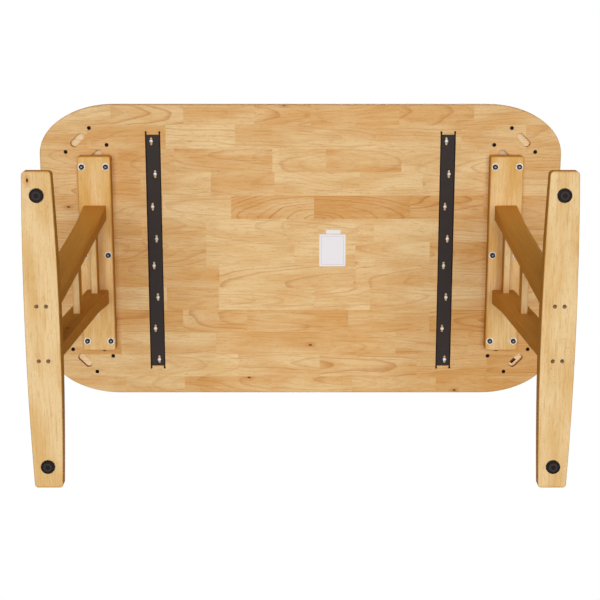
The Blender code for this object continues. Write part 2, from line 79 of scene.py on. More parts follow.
# Cuts in the top: beds of the channels, kerfs of their flanges with drilled ends, holes of the inserts, and
# one mortise, which lies off the middle of its pocket, along and across
BED_GAP = 0.001
BED_CORNER = 0.0005
KERF_WIDTH = 0.004
KERF_DEPTH = 0.0125
KERF_OVERRUN = 0.008
KERF_END_RADIUS = 0.0027
KERF_END_DEPTH = 0.0130
KERF_END_OVERRUN = 0.0065
INSERT_HOLE = 0.00505
INSERT_HOLE_DEPTH = 0.015
MORTISE_PLACE = (-0.0067, 0.0014)
MORTISE_CORNER = 0.0006

# Channels and their screws: slots either way from a channel's middle, height of its flanges; rise of a pan
# head, the share of it that stands upright, and its shank as radius and height; length and half width of
# the cross's arms, the share of the rise that it leaves, and its turn from one screw to the next
SLOTS_EACH_WAY = 4
FLANGE_HEIGHT = 0.012
PAN_RISE = 0.0028
PAN_EDGE = 0.35
PAN_SHANK = ((0.002, 0.0), (0.002, 0.016), (POINT, 0.018))
CROSS_ARM = 0.0022
CROSS_HALF = 0.0005
CROSS_FLOOR = 0.45
CROSS_TURN = 0.7

# Inserts: bore; depth, half pitch, start and steps of the thread; edge, and mouth as radius and height
INSERT_BORE = 0.0030
THREAD_DEPTH = 0.00035
THREAD_HALF_PITCH = 0.0005
THREAD_START = 0.003
THREAD_STEPS = 18
INSERT_EDGE = 0.0005
INSERT_MOUTH = ((0.0037, 0.0026), (0.0037, 0.0006), (0.0041, 0.0))

# Bolts and washers: radii, length of the taper at the tip, depth of the socket, thickness and chamfer
BOLT_HOLE = 0.0035
BOLT_ROUND = 0.0026
BOLT_SHANK = 0.0030
BOLT_TIP = 0.0022
BOLT_TAPER = 0.0008
BOLT_SOCKET_DEPTH = 0.0028
WASHER_BORE = 0.0033
WASHER_THICK = 0.0015
WASHER_EDGE = 0.0004

# Feet: level stretch beyond the posts, share of the arris that is left at the ends, radius and depth of the
# bores; then the screws in them
FOOT_SEAT_MARGIN = 0.012
FOOT_EDGE_LEFT = 0.2
FOOT_BORE = 0.0043
FOOT_BORE_DEPTH = 0.014
SCREW_EDGE = 0.0006
SCREW_HEAD_HEIGHT = 0.003
SCREW_SHANK = 0.0022
SCREW_TAPER = 0.004
SCREW_TIP = 0.0003
SCREW_SOCKET = 0.0023
SCREW_SOCKET_DEPTH = 0.0018

# Glides: worn face with a dimple, a ring and a groove as radius and height, then rim, disc and stem
GLIDE_FACE = (
    (POINT, 0.0008), (0.0040, 0.0008), (0.0046, 0.0001), (0.0050, 0.0), (0.0086, 0.0),
    (0.0092, 0.0003), (0.0094, 0.0010), (0.0104, 0.0010), (0.0107, 0.0004),
)
GLIDE_PAD = 0.0090
GLIDE_RIM = 0.0004
GLIDE_ROUND = 0.0016
GLIDE_THICK = 0.005
GLIDE_EDGE = 0.0004
GLIDE_STEM = 0.004

# Labels: middle along and across the top, width and height; then the frame printed on the large one
LABELS = {"label_large": (0.081, -0.005, 0.066, 0.083), "label_small": (0.083, -0.053, 0.036, 0.0097)}
LABEL_THICK = 0.00015
LABEL_CORNER = 0.001
RULE_MARGIN = 0.005
RULE_WIDTH = 0.0006
RULE_THICK = 0.2 * LABEL_THICK

# Stage: floor, where it fades to white, its contact shadow; a far light with place, aim and width as an
# angle; lamps with place, aim, setting and size
FLOOR_RADIUS = 14.0
FLOOR_DROP = 0.0008
FADE = (1.3, 3.6)
CONTACT_REACH = 0.03
CONTACT_POWER = 3.0
CONTACT_DARK = "#272727"
WHITE = "#FFFFFF"
FAR_LIGHT = ((0.0, -0.6, -4.0), (0.0, 0.0, 0.6), math.radians(50))
LAMPS = {
    "lamp_above": ((0.2, 0.5, 3.4), (0.0, 0.0, 0.6), "above", 2.6),
    "lamp_back_left": ((-2.6, 2.4, 1.5), (0.0, 0.0, 0.4), "side", 1.6),
    "lamp_right": ((3.2, -0.6, 1.3), (0.0, 0.0, 0.4), "side", 1.6),
    "lamp_front": ((-0.7, -3.2, 1.3), (0.0, 0.0, 0.5), "front", 1.8),
}

# Tones of the wood: 0 is pale, 1 honey, 2 heartwood and 3 painted shade deep in cuts; below 0 it is bare.
# The sides of a trestle's sticks carry painted shade, a darker tone than their lower faces, whose tones come
# next
SHADED_SIDE_TONE = 1.6
CLEAT_TONE = 0.55
RUNG_TONE = 0.35
FOOT_TONE = 0.20
BARE_TONE = -0.6
# Painted shade on the upright walls of the pockets
POCKET_WALL_SHADE_TONE = 2.2
# Painted shade on all walls of the kerfs and deep in holes and pockets
DEEP_SHADE_TONE = 2.85
# What lacquer adds to the tone of the top's upper face and rim, and the painted shade that its rim and other
# upright faces get besides
LACQUER_TONE = 0.55
RIM_SHADE_TONE = 0.40

# A face counts as level or upright by the rise of its normal; it belongs to a cut by its distance from the
# middle of a channel, past a channel's end, or from a hole or a foot's bore, or by a share of a pocket's
# length; what lies deeper in a cut than the last value gets painted shade
LEVEL = 0.8
UPRIGHT = 0.3
CHANNEL_REACH = 0.03
KERF_END_REACH = 0.02
HOLE_REACH = 0.006
FOOT_BORE_REACH = 0.0048
POCKET_REACH = 0.58
DEEP_SHADE_DEPTH = 0.0115

# Colours that all the wood shares
BARE_WOOD = "#F3DBAF"
SPECK = "#7A4A22"
PIN_KNOT = "#5A2E14"
# Painted shade deep in the cuts
DEEP_SHADE_WOOD = "#5C3212"

# Patterns in the wood: size along and across a stick in mm, then detail and crumble of the noise. Vessel
# dashes are drawn twice their real width and their bundles three times, so that they show
WOOD_PATTERNS = {
    "wander": (200.0, 60.0, 2.0, 0.5),
    "cloud": (160.0, 40.0, 2.0, 0.5),
    "fibre": (90.0, 3.0, 3.0, 0.6),
    "vessel": (8.0, 0.7, 1.0, 0.5),
    "fleck": (20.0, 2.5, 2.0, 0.6),
    "speck": (2.4, 1.9, 1.0, 0.5),
    "patch": (60.0, 33.0, 1.0, 0.5),
}
# Marks that come from these: the pattern, the values between which a mark grows, and its shares at them
WOOD_MARKS = {
    "cloud": ("cloud", 0.3, 0.7, -0.32, 0.32),
    "vessel": ("vessel", 0.60, 0.74, 0.0, 1.0),
    "fleck": ("fleck", 0.54, 0.74, 0.0, 0.38),
    "speck": ("speck", 0.66, 0.74, 0.0, 0.5),
    "patch": ("patch", 0.52, 0.66, 0.0, 1.0),
    "dark_fibre": ("fibre", 0.50, 0.78, 0.0, 0.44),
    "pale_fibre": ("fibre", 0.48, 0.24, 0.0, 0.35),
}
DASH_SHARE = 0.30
# Pale fibres fade as the tone rises: by how much a step of tone takes off them, and their share at tone 0
PALE_FADE = (-0.5, 1.2)
# Relief of the lacquer: what pores take off it and fibres add to it, its strength, and its depth in metres;
# then how far the fibres change its roughness, and between which of their values
PORE_RELIEF = 0.8
FIBRE_RELIEF = 0.6
WOOD_RELIEF = {"Strength": 0.25, "Distance": 0.0002}
FIBRE_SPAN = (0.25, 0.75)
SATIN_SPREAD = 0.07
LACQUER_IOR = 1.5
# Rings: how far they swerve, where late wood sets in and ends within one, the least and the most that a
# ring shows, and the most that it darkens the wood
RING_WANDER = (0.0, 0.020, 0.020)
LATE_WOOD = (0.58, 0.97)
RING_STRENGTH = (0.15, 1.0)
RING_SHARE = 0.46
# Pin knots: cells that may hold one in mm, the share of cells that don't, and in cells the reach of a halo,
# with its strength, and of a knot
KNOT_CELL = (140.0, 70.0, 1000.0)
KNOTLESS = 0.93
HALO = (0.16, 0.01, 0.0, 0.55)
KNOT = (0.040, 0.018)
# How far apart sticks lie in the patterns for each step of their seed
STICK_SPREAD = (5.3, 2.9, 1.7)
# Mottled finishes: size of a grain as a share of a patch; the sums of both patterns between which the colour
# changes, and the values of the patches between which the gloss does; its change, and strength of the relief
PATCH_SHARE = 0.12
MOTTLE_SPAN = (0.7, 1.3)
PATCH_SPAN = (0.3, 0.7)
GLOSS_SPREAD = 0.15
GRIT_RELIEF = 0.4

# Sticks as they come from the log: the share that is flat-sawn, where the pith lies across these and beside
# the others, its depth and slope; then tone, strength of the rings, seed, and lean of the grain
FLAT_SAWN = 0.65
PITH_ACROSS = (-0.02, 0.02)
PITH_BESIDE = (0.04, 0.08)
PITH_DEPTH = (0.012, 0.05)
PITH_SLOPE = (0.03, 0.16)
TONES = (0.32, 0.75)
FIGURES = (0.5, 1.3)
SEEDS = (0.0, 40.0)
LEAN = 0.03

# Seeds that saw the same sticks each run; sticks of a kind count on from theirs by side, end and level
STAVE_SEED = 7
CLEAT_SEED = 31
POST_SEED = 53
RUNG_SEED = 71
FOOT_SEED = 95

# Lengths of the staves, row by row from the front edge: where each row's butt joints lie, in mm
# along the top from its middle. Rows are a stave's width apart, the first joint line at ROW_START
ROW_START = -0.3245
BUTT_JOINTS = (
    (-470, -290, -114, 26, 245, 430),
    (-530, -335, -162, 188, 400, 560),
    (-455, -315, -70, 64, 252, 470),
    (-560, -400, -224, -65, 148, 306, 510),
    (-490, -345, -174, 34, 276, 460),
    (-540, -400, -238, -35, 185, 380, 560),
    (-500, -238, -15, 139, 327, 520),
    (-550, -380, -206, 141, 306, 490),
    (-470, -340, -208, 35, 177, 360, 550),
    (-530, -300, -136, 122, 330, 500),
    (-460, -217, 77, 244, 430),
    (-540, -350, -160, 50, 300, 480),
    (-450, -299, -75, 133, 350),
)
# Staves that stand out, by row and place in it: tone, and how strongly their rings show
MARKED_STAVES = {
    (0, 2): (0.50, 0.6), (0, 3): (0.60, 1.1), (0, 4): (0.66, 0.5),
    (1, 2): (0.19, 1.0), (1, 3): (0.38, 0.9), (1, 4): (0.41, 0.9),
    (2, 2): (0.62, 0.8), (2, 3): (0.35, 0.8), (2, 4): (0.66, 0.7), (2, 5): (0.25, 0.8),
    (3, 2): (0.35, 0.5), (3, 3): (0.62, 0.5), (3, 4): (0.28, 0.6), (3, 5): (0.19, 0.5),
    (4, 2): (0.28, 0.6), (4, 3): (0.66, 1.5), (4, 4): (1.06, 1.3), (4, 5): (0.70, 1.5),
    (5, 2): (0.44, 0.5), (5, 3): (0.25, 0.6), (5, 4): (0.22, 0.6), (5, 5): (0.28, 0.5),
    (6, 2): (0.31, 0.4), (6, 3): (0.28, 0.6), (6, 4): (0.22, 0.5),
    (7, 3): (0.38, 1.0), (7, 4): (0.47, 0.8),
    (8, 2): (0.69, 0.6), (8, 3): (0.25, 0.6), (8, 4): (0.28, 1.0), (8, 5): (0.41, 0.9),
    (9, 1): (0.85, 1.4), (9, 5): (0.85, 1.5),
    (10, 1): (0.41, 0.5), (10, 2): (0.62, 0.9),
    (11, 2): (0.22, 0.6), (11, 3): (0.38, 0.9), (11, 5): (0.85, 0.9), (11, 6): (1.05, 0.7),
    (12, 2): (0.66, 0.8), (12, 3): (0.41, 0.9), (12, 4): (0.66, 0.5), (12, 5): (0.80, 0.6),
}
# Staves sawn so steeply across their rings that they flame: the pith's place across and in depth, and
# its slope
FLAMED_STAVES = {
    (4, 3): (0.030, 0.036, -0.30),
    (4, 4): (0.030, 0.030, 0.25),
}


def linear(code):
    """sRGB hex colour as linear red, green and blue."""
    parts = [int(code[i:i + 2], 16) / 255 for i in (1, 3, 5)]
    return tuple(c / 12.92 if c <= 0.04045 else ((c + 0.055) / 1.055) ** 2.4 for c in parts)


def amount(title, text, default, **more):
    """A number that a user may change."""
    return FloatProperty(name=title, description=text, default=default, **more)


def length(title, text, default):
    """A size in metres that a user may change."""
    return amount(title, text, default, min=0.0, unit="LENGTH", precision=4)


def colour(title, text, code):
    """A colour that a user may change."""
    return FloatVectorProperty(name=title, description=text, default=linear(code), size=3, min=0.0, max=1.0,
                               subtype="COLOR")


class BoardSettings(bpy.types.PropertyGroup):
    """Sizes and colours of the laminated top."""

    corner_along: length("Corner along", "Length of a swept corner along the top", 0.185)
    corner_across: length("Corner across", "Length of a swept corner across the top", 0.125)
    arris: length("Arris", "Radius of the top's rounded edge", 0.005)
    stave_width: length("Stave width", "Width of one row of staves", 0.0595)
    ring_width: length("Ring width", "Spacing of the growth rings", 0.0068)
    pocket_length: length("Pocket length", "Length of a routed pocket in a corner", 0.042)
    pocket_width: length("Pocket width", "Width of a routed pocket", 0.018)
    pocket_depth: length("Pocket depth", "Depth of a routed pocket", 0.010)
    pocket_break: length("Pocket edge", "Chamfer round the mouth of a pocket", 0.0006)
    mortise_length: length("Mortise length", "Length of the mortise in the back right pocket", 0.015)
    mortise_width: length("Mortise width", "Width of the mortise in the back right pocket", 0.0082)
    mortise_depth: length("Mortise depth", "Depth of the mortise below the underside", 0.0190)
    pale: colour("Pale wood", "Sapwood of the palest staves", "#EACA94")
    honey: colour("Honey wood", "Colour of the warmer staves", "#D7A15D")
    heart: colour("Heartwood", "Colour of the few heartwood staves", "#BB7433")
    ring: colour("Ring", "Dark edge of a growth ring", "#B87335")


class TrestleSettings(bpy.types.PropertyGroup):
    """Sizes and colours of the two trestles."""

    post_width: length("Post width", "Width of a post along the top", 0.055)
    post_thick_top: length("Post thickness at the cleat", "Across the table", 0.037)
    post_thick_foot: length("Post thickness at the foot", "Across the table", 0.034)
    post_outer_round: length("Outer round", "Radius of a post's outer arrises", 0.016)
    post_inner_round: length("Inner round", "Radius of a post's inner arrises", 0.004)
    post_top_round: length("Round at the cleat", "Radius left where a post meets the cleat", 0.002)
    post_fade: length("Fade", "Length over which the rounding runs out below the cleat", 0.125)
    rung_edge: length("Rung arris", "Radius of the rungs' arrises", 0.002)
    foot_end_width: length("Foot end width", "Width of a foot at its ends", 0.057)
    foot_end_thick: length("Foot end thickness", "Thickness of a foot at its ends", 0.022)
    foot_edge: length("Foot arris", "Radius of the feet's arrises", 0.0025)
    foot_end_round: length("Foot end round", "Radius of the feet's corners, seen from below", 0.008)
    foot_end_drop: length("Foot end drop", "Rounding of the feet's ends, seen from the side", 0.004)
    cleat_corner: length("Cleat corner", "Corner radius of a cleat", 0.006)
    cleat_edge: length("Cleat arris", "Radius of the cleats' arrises", 0.004)
    ring_width: length("Ring width", "Spacing of the growth rings", 0.0080)
    figure: amount("Figure", "How strongly the growth rings show", 0.3, min=0.0)
    pale: colour("Pale wood", "Palest wood of the trestles", "#F9D9A3")
    honey: colour("Honey wood", "Warmer wood of the trestles", "#DFAA58")
    heart: colour("Heartwood", "Darkest wood of the trestles", "#CA7D20")
    ring: colour("Ring", "Dark edge of a growth ring", "#CB8D45")


class FittingSettings(bpy.types.PropertyGroup):
    """Sizes and colours of the fittings."""

    sheet: length("Sheet", "Thickness of the channels' steel", 0.002)
    bend: length("Bend", "Outer radius of the channels' bends", 0.003)
    slot_length: length("Slot length", "Length of a slot in a channel", 0.020)
    slot_width: length("Slot width", "Width of a slot in a channel", 0.0055)
    slot_pitch: length("Slot pitch", "Distance from slot to slot", 0.083)
    slot_middle: length("Middle gap", "Distance between the two middle slots", 0.0696)
    slot_stagger: length("Stagger", "How far the slots step aside", 0.004)
    screw_head: length("Pan head", "Diameter of the channel screws' heads", 0.009)
    bolt_head: length("Bolt head", "Diameter of the bolts' heads", 0.013)
    bolt_socket: length("Bolt socket", "Across the flats of the bolts' sockets", 0.0050)
    washer: length("Washer", "Diameter of the bolts' washers", 0.018)
    sides: IntProperty(name="Sides", description="Facets round a turned piece", default=32, min=12, max=96)
    channel: colour("Channel", "Stoved paint of the channels", "#2E2624")
    black: colour("Black steel", "Blackened bolts and inserts", "#2B2828")
    zinc: colour("Zinc", "Zinc plating of the washers and screws", "#E6E7E8")
    # Painted shade: darker zinc for the screws deep in the feet's bores
    shaded_zinc: colour("Zinc in painted shade", "Colour of the screws deep in the feet", "#8F8378")
    # Painted highlight: lighter grey steel on the sockets' floors stands in for the light spot in each socket
    worn: colour("Socket highlight steel", "Floors of the bolts' sockets, rubbed bright by the key", "#8F8B89")
    nylon: colour("Nylon", "Moulded glides", "#1F1A1A")
    pad: colour("Glide pad", "Worn face of the glides", "#403635")
    paper: colour("Paper", "Blank labels under the top", "#EAE7EA")
    ink: colour("Ink", "Colour of the frame printed on the large label", "#B5B0BC")


class StageSettings(bpy.types.PropertyGroup):
    """Floor, light and camera."""

    floor: colour("Floor", "Pale floor", "#EDEBE8")
    bounce: colour("Floor bounce", "Colour of the light that the floor throws back", "#6A6865")
    ambient: amount("Ambient", "Level of the light from all round", 0.08, min=0.0)
    below: amount("Light from below", "Level of the wide soft light behind the camera", 2.95, min=0.0)
    above: amount("Light from above", "Soft lamp over the top", 78.0, min=0.0, unit="POWER")
    side: amount("Side light", "Each of the soft lamps at the sides", 16.0, min=0.0, unit="POWER")
    front: amount("Front light", "Soft lamp before the table", 24.0, min=0.0, unit="POWER")
    camera: FloatVectorProperty(name="Camera", description="Place of the camera", subtype="TRANSLATION",
                                unit="LENGTH", default=(-0.001, -0.731, -2.259))
    tilt: amount("Tilt", "Lean of the view towards the back", math.radians(11.1), subtype="ANGLE")
    lens: amount("Lens", "Focal length in mm on a sensor 36 mm wide", 71.6, min=1.0)
    shift: amount("Shift", "Vertical shift of the picture", -0.18)


class TableSettings(bpy.types.PropertyGroup):
    """Everything a user would change."""

    board: PointerProperty(type=BoardSettings)
    trestle: PointerProperty(type=TrestleSettings)
    fitting: PointerProperty(type=FittingSettings)
    stage: PointerProperty(type=StageSettings)


# Shapes


def loft(rings, shape=None, closed=False):
    """A solid through rings of equally many points; a closed one joins its last ring to its first."""
    shape = shape or bmesh.new()
    loops = [[shape.verts.new(point) for point in ring] for ring in rings]
    pairs = list(zip(loops, loops[1:]))
    if closed:
        pairs.append((loops[-1], loops[0]))
    count = len(rings[0])
    for lower, upper in pairs:
        for i in range(count):
            j = (i + 1) % count
            shape.faces.new((lower[i], lower[j], upper[j], upper[i]))
    if not closed:
        shape.faces.new(reversed(loops[0]))
        shape.faces.new(loops[-1])
    return shape


def circle(x, y, z, radius, sides):
    """A level ring."""
    turns = [2 * math.pi * (i + 0.5) / sides for i in range(sides)]
    return [(x + radius * math.cos(turn), y + radius * math.sin(turn), z) for turn in turns]


def turned(profile, sides, places=((0.0, 0.0),), shape=None, closed=False):
    """Turned solid at each place; the profile is a list of radius and height, from the bottom up."""
    shape = shape or bmesh.new()
    for x, y in places:
        loft([circle(x, y, z, radius, sides) for radius, z in profile], shape, closed)
    return shape


def peg(radius, low, high, sides, places=((0.0, 0.0),), shape=None):
    """Upright rod at each place."""
    return turned([(radius, low), (radius, high)], sides, places, shape)


def arc(x, y, radius_x, radius_y, start, sweep, steps):
    """Points along an elliptical arc."""
    angles = [start + sweep * i / steps for i in range(steps + 1)]
    return [(x + radius_x * math.cos(angle), y + radius_y * math.sin(angle)) for angle in angles]


def round_over(reach, level, radius, steps):
    """Quarter round between a face at a level and a side at a reach, as reach and level."""
    turns = [QUARTER * i / steps for i in range(steps + 1)]
    return [(reach - radius + radius * math.sin(turn), level + radius * (1 - math.cos(turn)))
            for turn in turns]


def rectangle(x, y, half_x, half_y):
    """Square-cornered outline about a middle."""
    return [(x + u * half_x, y + v * half_y) for u, v in ((-1, -1), (1, -1), (1, 1), (-1, 1))]


def rounded_rectangle(half_x, half_y, corner_x, corner_y, steps):
    """Outline with a quarter ellipse at each corner."""
    outline = []
    for quarter, (sx, sy) in enumerate(((1, 1), (-1, 1), (-1, -1), (1, -1))):
        middle = (sx * (half_x - corner_x), sy * (half_y - corner_y))
        outline += arc(*middle, corner_x, corner_y, quarter * QUARTER, QUARTER, steps)
    return outline


def oblong(x, y, span, width, heading, steps):
    """Round-ended slot outline, its length along the heading."""
    reach = (span - width) / 2
    along = (math.cos(heading) * reach, math.sin(heading) * reach)
    first = arc(x + along[0], y + along[1], width / 2, width / 2, heading - QUARTER, math.pi, steps)
    second = arc(x - along[0], y - along[1], width / 2, width / 2, heading + QUARTER, math.pi, steps)
    return first + second


def prism(outline, low, high, shape=None):
    """Upright extrusion of an outline."""
    return loft([[(x, y, z) for x, y in outline] for z in (low, high)], shape)


def slab(x, sizes, low, high, edge, corner_steps, edge_steps):
    """Level board about a middle x, with rounded corners and arrises.

    Its sizes are its half sides and the radii of its corners, along and across.
    """
    rings = []
    for step in range(2 * edge_steps + 2):
        upper = step > edge_steps
        angle = QUARTER * (step - upper) / edge_steps
        inset = edge * (1 - abs(math.sin(angle)))
        rise = edge * (1 - abs(math.cos(angle)))
        z = high - rise if upper else low + rise
        outline = rounded_rectangle(*[size - inset for size in sizes], corner_steps)
        rings.append([(x + u, v, z) for u, v in outline])
    return loft(rings)


def bare_object(name, shape):
    """Turns a bmesh into an object."""
    mesh = bpy.data.meshes.new(name)
    bmesh.ops.remove_doubles(shape, verts=shape.verts, dist=1e-6)
    bmesh.ops.recalc_face_normals(shape, faces=shape.faces)
    shape.to_mesh(mesh)
    shape.free()
    thing = bpy.data.objects.new(name, mesh)
    bpy.context.scene.collection.objects.link(thing)
    return thing


def carve(shape, *cutters):
    """Takes each cutter away from a shape in turn."""
    work = bare_object("work", shape)
    tools = []
    for cutter in cutters:
        tool = bare_object("tool", cutter)
        tools.append(tool)
        step = work.modifiers.new("cut", "BOOLEAN")
        step.operation = "DIFFERENCE"
        step.solver = "EXACT"
        step.object = tool
    shown = work.evaluated_get(bpy.context.evaluated_depsgraph_get())
    carved = bmesh.new()
    carved.from_mesh(shown.to_mesh())
    shown.to_mesh_clear()
    for thing in [work] + tools:
        mesh = thing.data
        bpy.data.objects.remove(thing)
        bpy.data.meshes.remove(mesh)
    if not carved.faces:
        raise RuntimeError("a cut left nothing of the piece")
    return carved


# Pieces


def nodes_of(kind):
    """Names of the CAD nodes of one kind."""
    return sorted(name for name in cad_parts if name.startswith(kind))


def middle_of(node):
    """Middle of a CAD node, seen from above."""
    low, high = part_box(node)
    return (low.x + high.x) / 2, (low.y + high.y) / 2


def dress(thing, surfaces, stands_for=()):
    """Smooths a piece, gives it its finishes, and fixes it to the table in place of its CAD nodes."""
    mesh = thing.data
    mesh.shade_smooth()
    mesh.set_sharp_from_angle(angle=SHARP)
    if not mesh.materials:
        for surface in surfaces:
            mesh.materials.append(surface)
    even = thing.modifiers.new("even_shading", "WEIGHTED_NORMAL")
    even.keep_sharp = True
    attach(thing, "root")
    if stands_for:
        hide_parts(*stands_for)


def add_piece(name, shape, surfaces, stands_for=()):
    """Makes a finished piece from a bmesh."""
    dress(bare_object(name, shape), surfaces, stands_for)


def add_copies(kind, title, shape, surfaces, z):
    """Pieces that share one mesh: one at a height in place of each node of a kind, with a new title."""
    mesh = None
    for node in nodes_of(kind):
        name = node.replace(kind, title)
        if mesh is None:
            thing = bare_object(name, shape)
            mesh = thing.data
        else:
            thing = bpy.data.objects.new(name, mesh)
            bpy.context.scene.collection.objects.link(thing)
        thing.location = (*middle_of(node), z)
        dress(thing, surfaces, (node,))


# Wood grain: each face corner knows where it lies in its own stick of wood, where that stick's pith
# lay in the log, and how dark the stick is


def mark_grain(mesh, stick_of):
    """Writes the grain onto a mesh; stick_of gives a face's stick and the place of a point in it."""
    count = len(mesh.loops)
    marks = {name: [0.0] * 3 * count for name in ("grain", "pith", "stick")}
    for face in mesh.polygons:
        stick, place_in = stick_of(face)
        for loop in face.loop_indices:
            point = mesh.vertices[mesh.loops[loop].vertex_index].co
            here = slice(3 * loop, 3 * loop + 3)
            marks["grain"][here] = place_in(point)
            marks["pith"][here] = stick["pith"]
            marks["stick"][here] = (stick["tone"], stick["seed"], stick["figure"])
    for name, values in marks.items():
        mesh.attributes.new(name, "FLOAT_VECTOR", "CORNER").data.foreach_set("vector", values)


def stick_from_log(draw, tone=None, figure=None):
    """One stick: pith place across and in depth, its slope along the stick, tone and figure."""
    flat_sawn = draw.random() < FLAT_SAWN
    across = draw.uniform(*PITH_ACROSS) if flat_sawn else draw.choice((-1, 1)) * draw.uniform(*PITH_BESIDE)
    depth = draw.choice((-1, 1)) * draw.uniform(*PITH_DEPTH)
    slope = draw.choice((-1, 1)) * draw.uniform(*PITH_SLOPE)
    drawn_tone = draw.uniform(*TONES)
    drawn_figure = draw.uniform(*FIGURES)
    return {
        "pith": (across, depth, slope),
        "seed": draw.uniform(*SEEDS),
        "lean": draw.gauss(0.0, LEAN),
        "tone": drawn_tone if tone is None else tone,
        "figure": drawn_figure if figure is None else figure,
    }


def long_grain(mesh, x, z_middle, seed, tone, figure, y_at=None, bores=()):
    """Grain of a solid stick along Y, or up a post whose middle y_at gives at a height.

    A stick's lower face has the tone that is given, its other faces a darker tone as painted shade, and the
    walls of its bores are bare.
    """
    stick = stick_from_log(random.Random(seed), tone, figure)

    def place_in(point):
        if y_at:
            return point.z - z_middle, point.x - x, point.y - y_at(point.z)
        return point.y, point.x - x, point.z - z_middle

    def stick_of(face):
        # Painted shade: faces that don't face down take the darker side tone
        faces_down = max(0.0, -face.normal.z) ** 2
        own_tone = SHADED_SIDE_TONE + (tone - SHADED_SIDE_TONE) * faces_down
        if any(math.hypot(face.center.x - u, face.center.y - v) < FOOT_BORE_REACH for u, v in bores):
            own_tone = BARE_TONE
        return {**stick, "tone": own_tone}, place_in

    mark_grain(mesh, stick_of)


# Materials


def add(tree, kind, inputs=(), out=0, **settings):
    """Adds a node with its settings, feeds it plain values or other nodes' outputs, and returns an output.

    The inputs are a tuple in the node's own order, or a dictionary by name or number.
    """
    node = tree.nodes.new("ShaderNode" + kind)
    for name, value in settings.items():
        setattr(node, name, value)
    for key, value in inputs.items() if isinstance(inputs, dict) else enumerate(inputs):
        if isinstance(value, bpy.types.NodeSocket):
            tree.links.new(value, node.inputs[key])
        else:
            node.inputs[key].default_value = value
    return node.outputs[out]


def new_surface(name):
    """A new material with its tree and its shader, or one that is there already without them."""
    surface = bpy.data.materials.get(name)
    if surface:
        return surface, None, None
    surface = bpy.data.materials.new(name)
    surface.use_nodes = True
    return surface, surface.node_tree, surface.node_tree.nodes["Principled BSDF"]


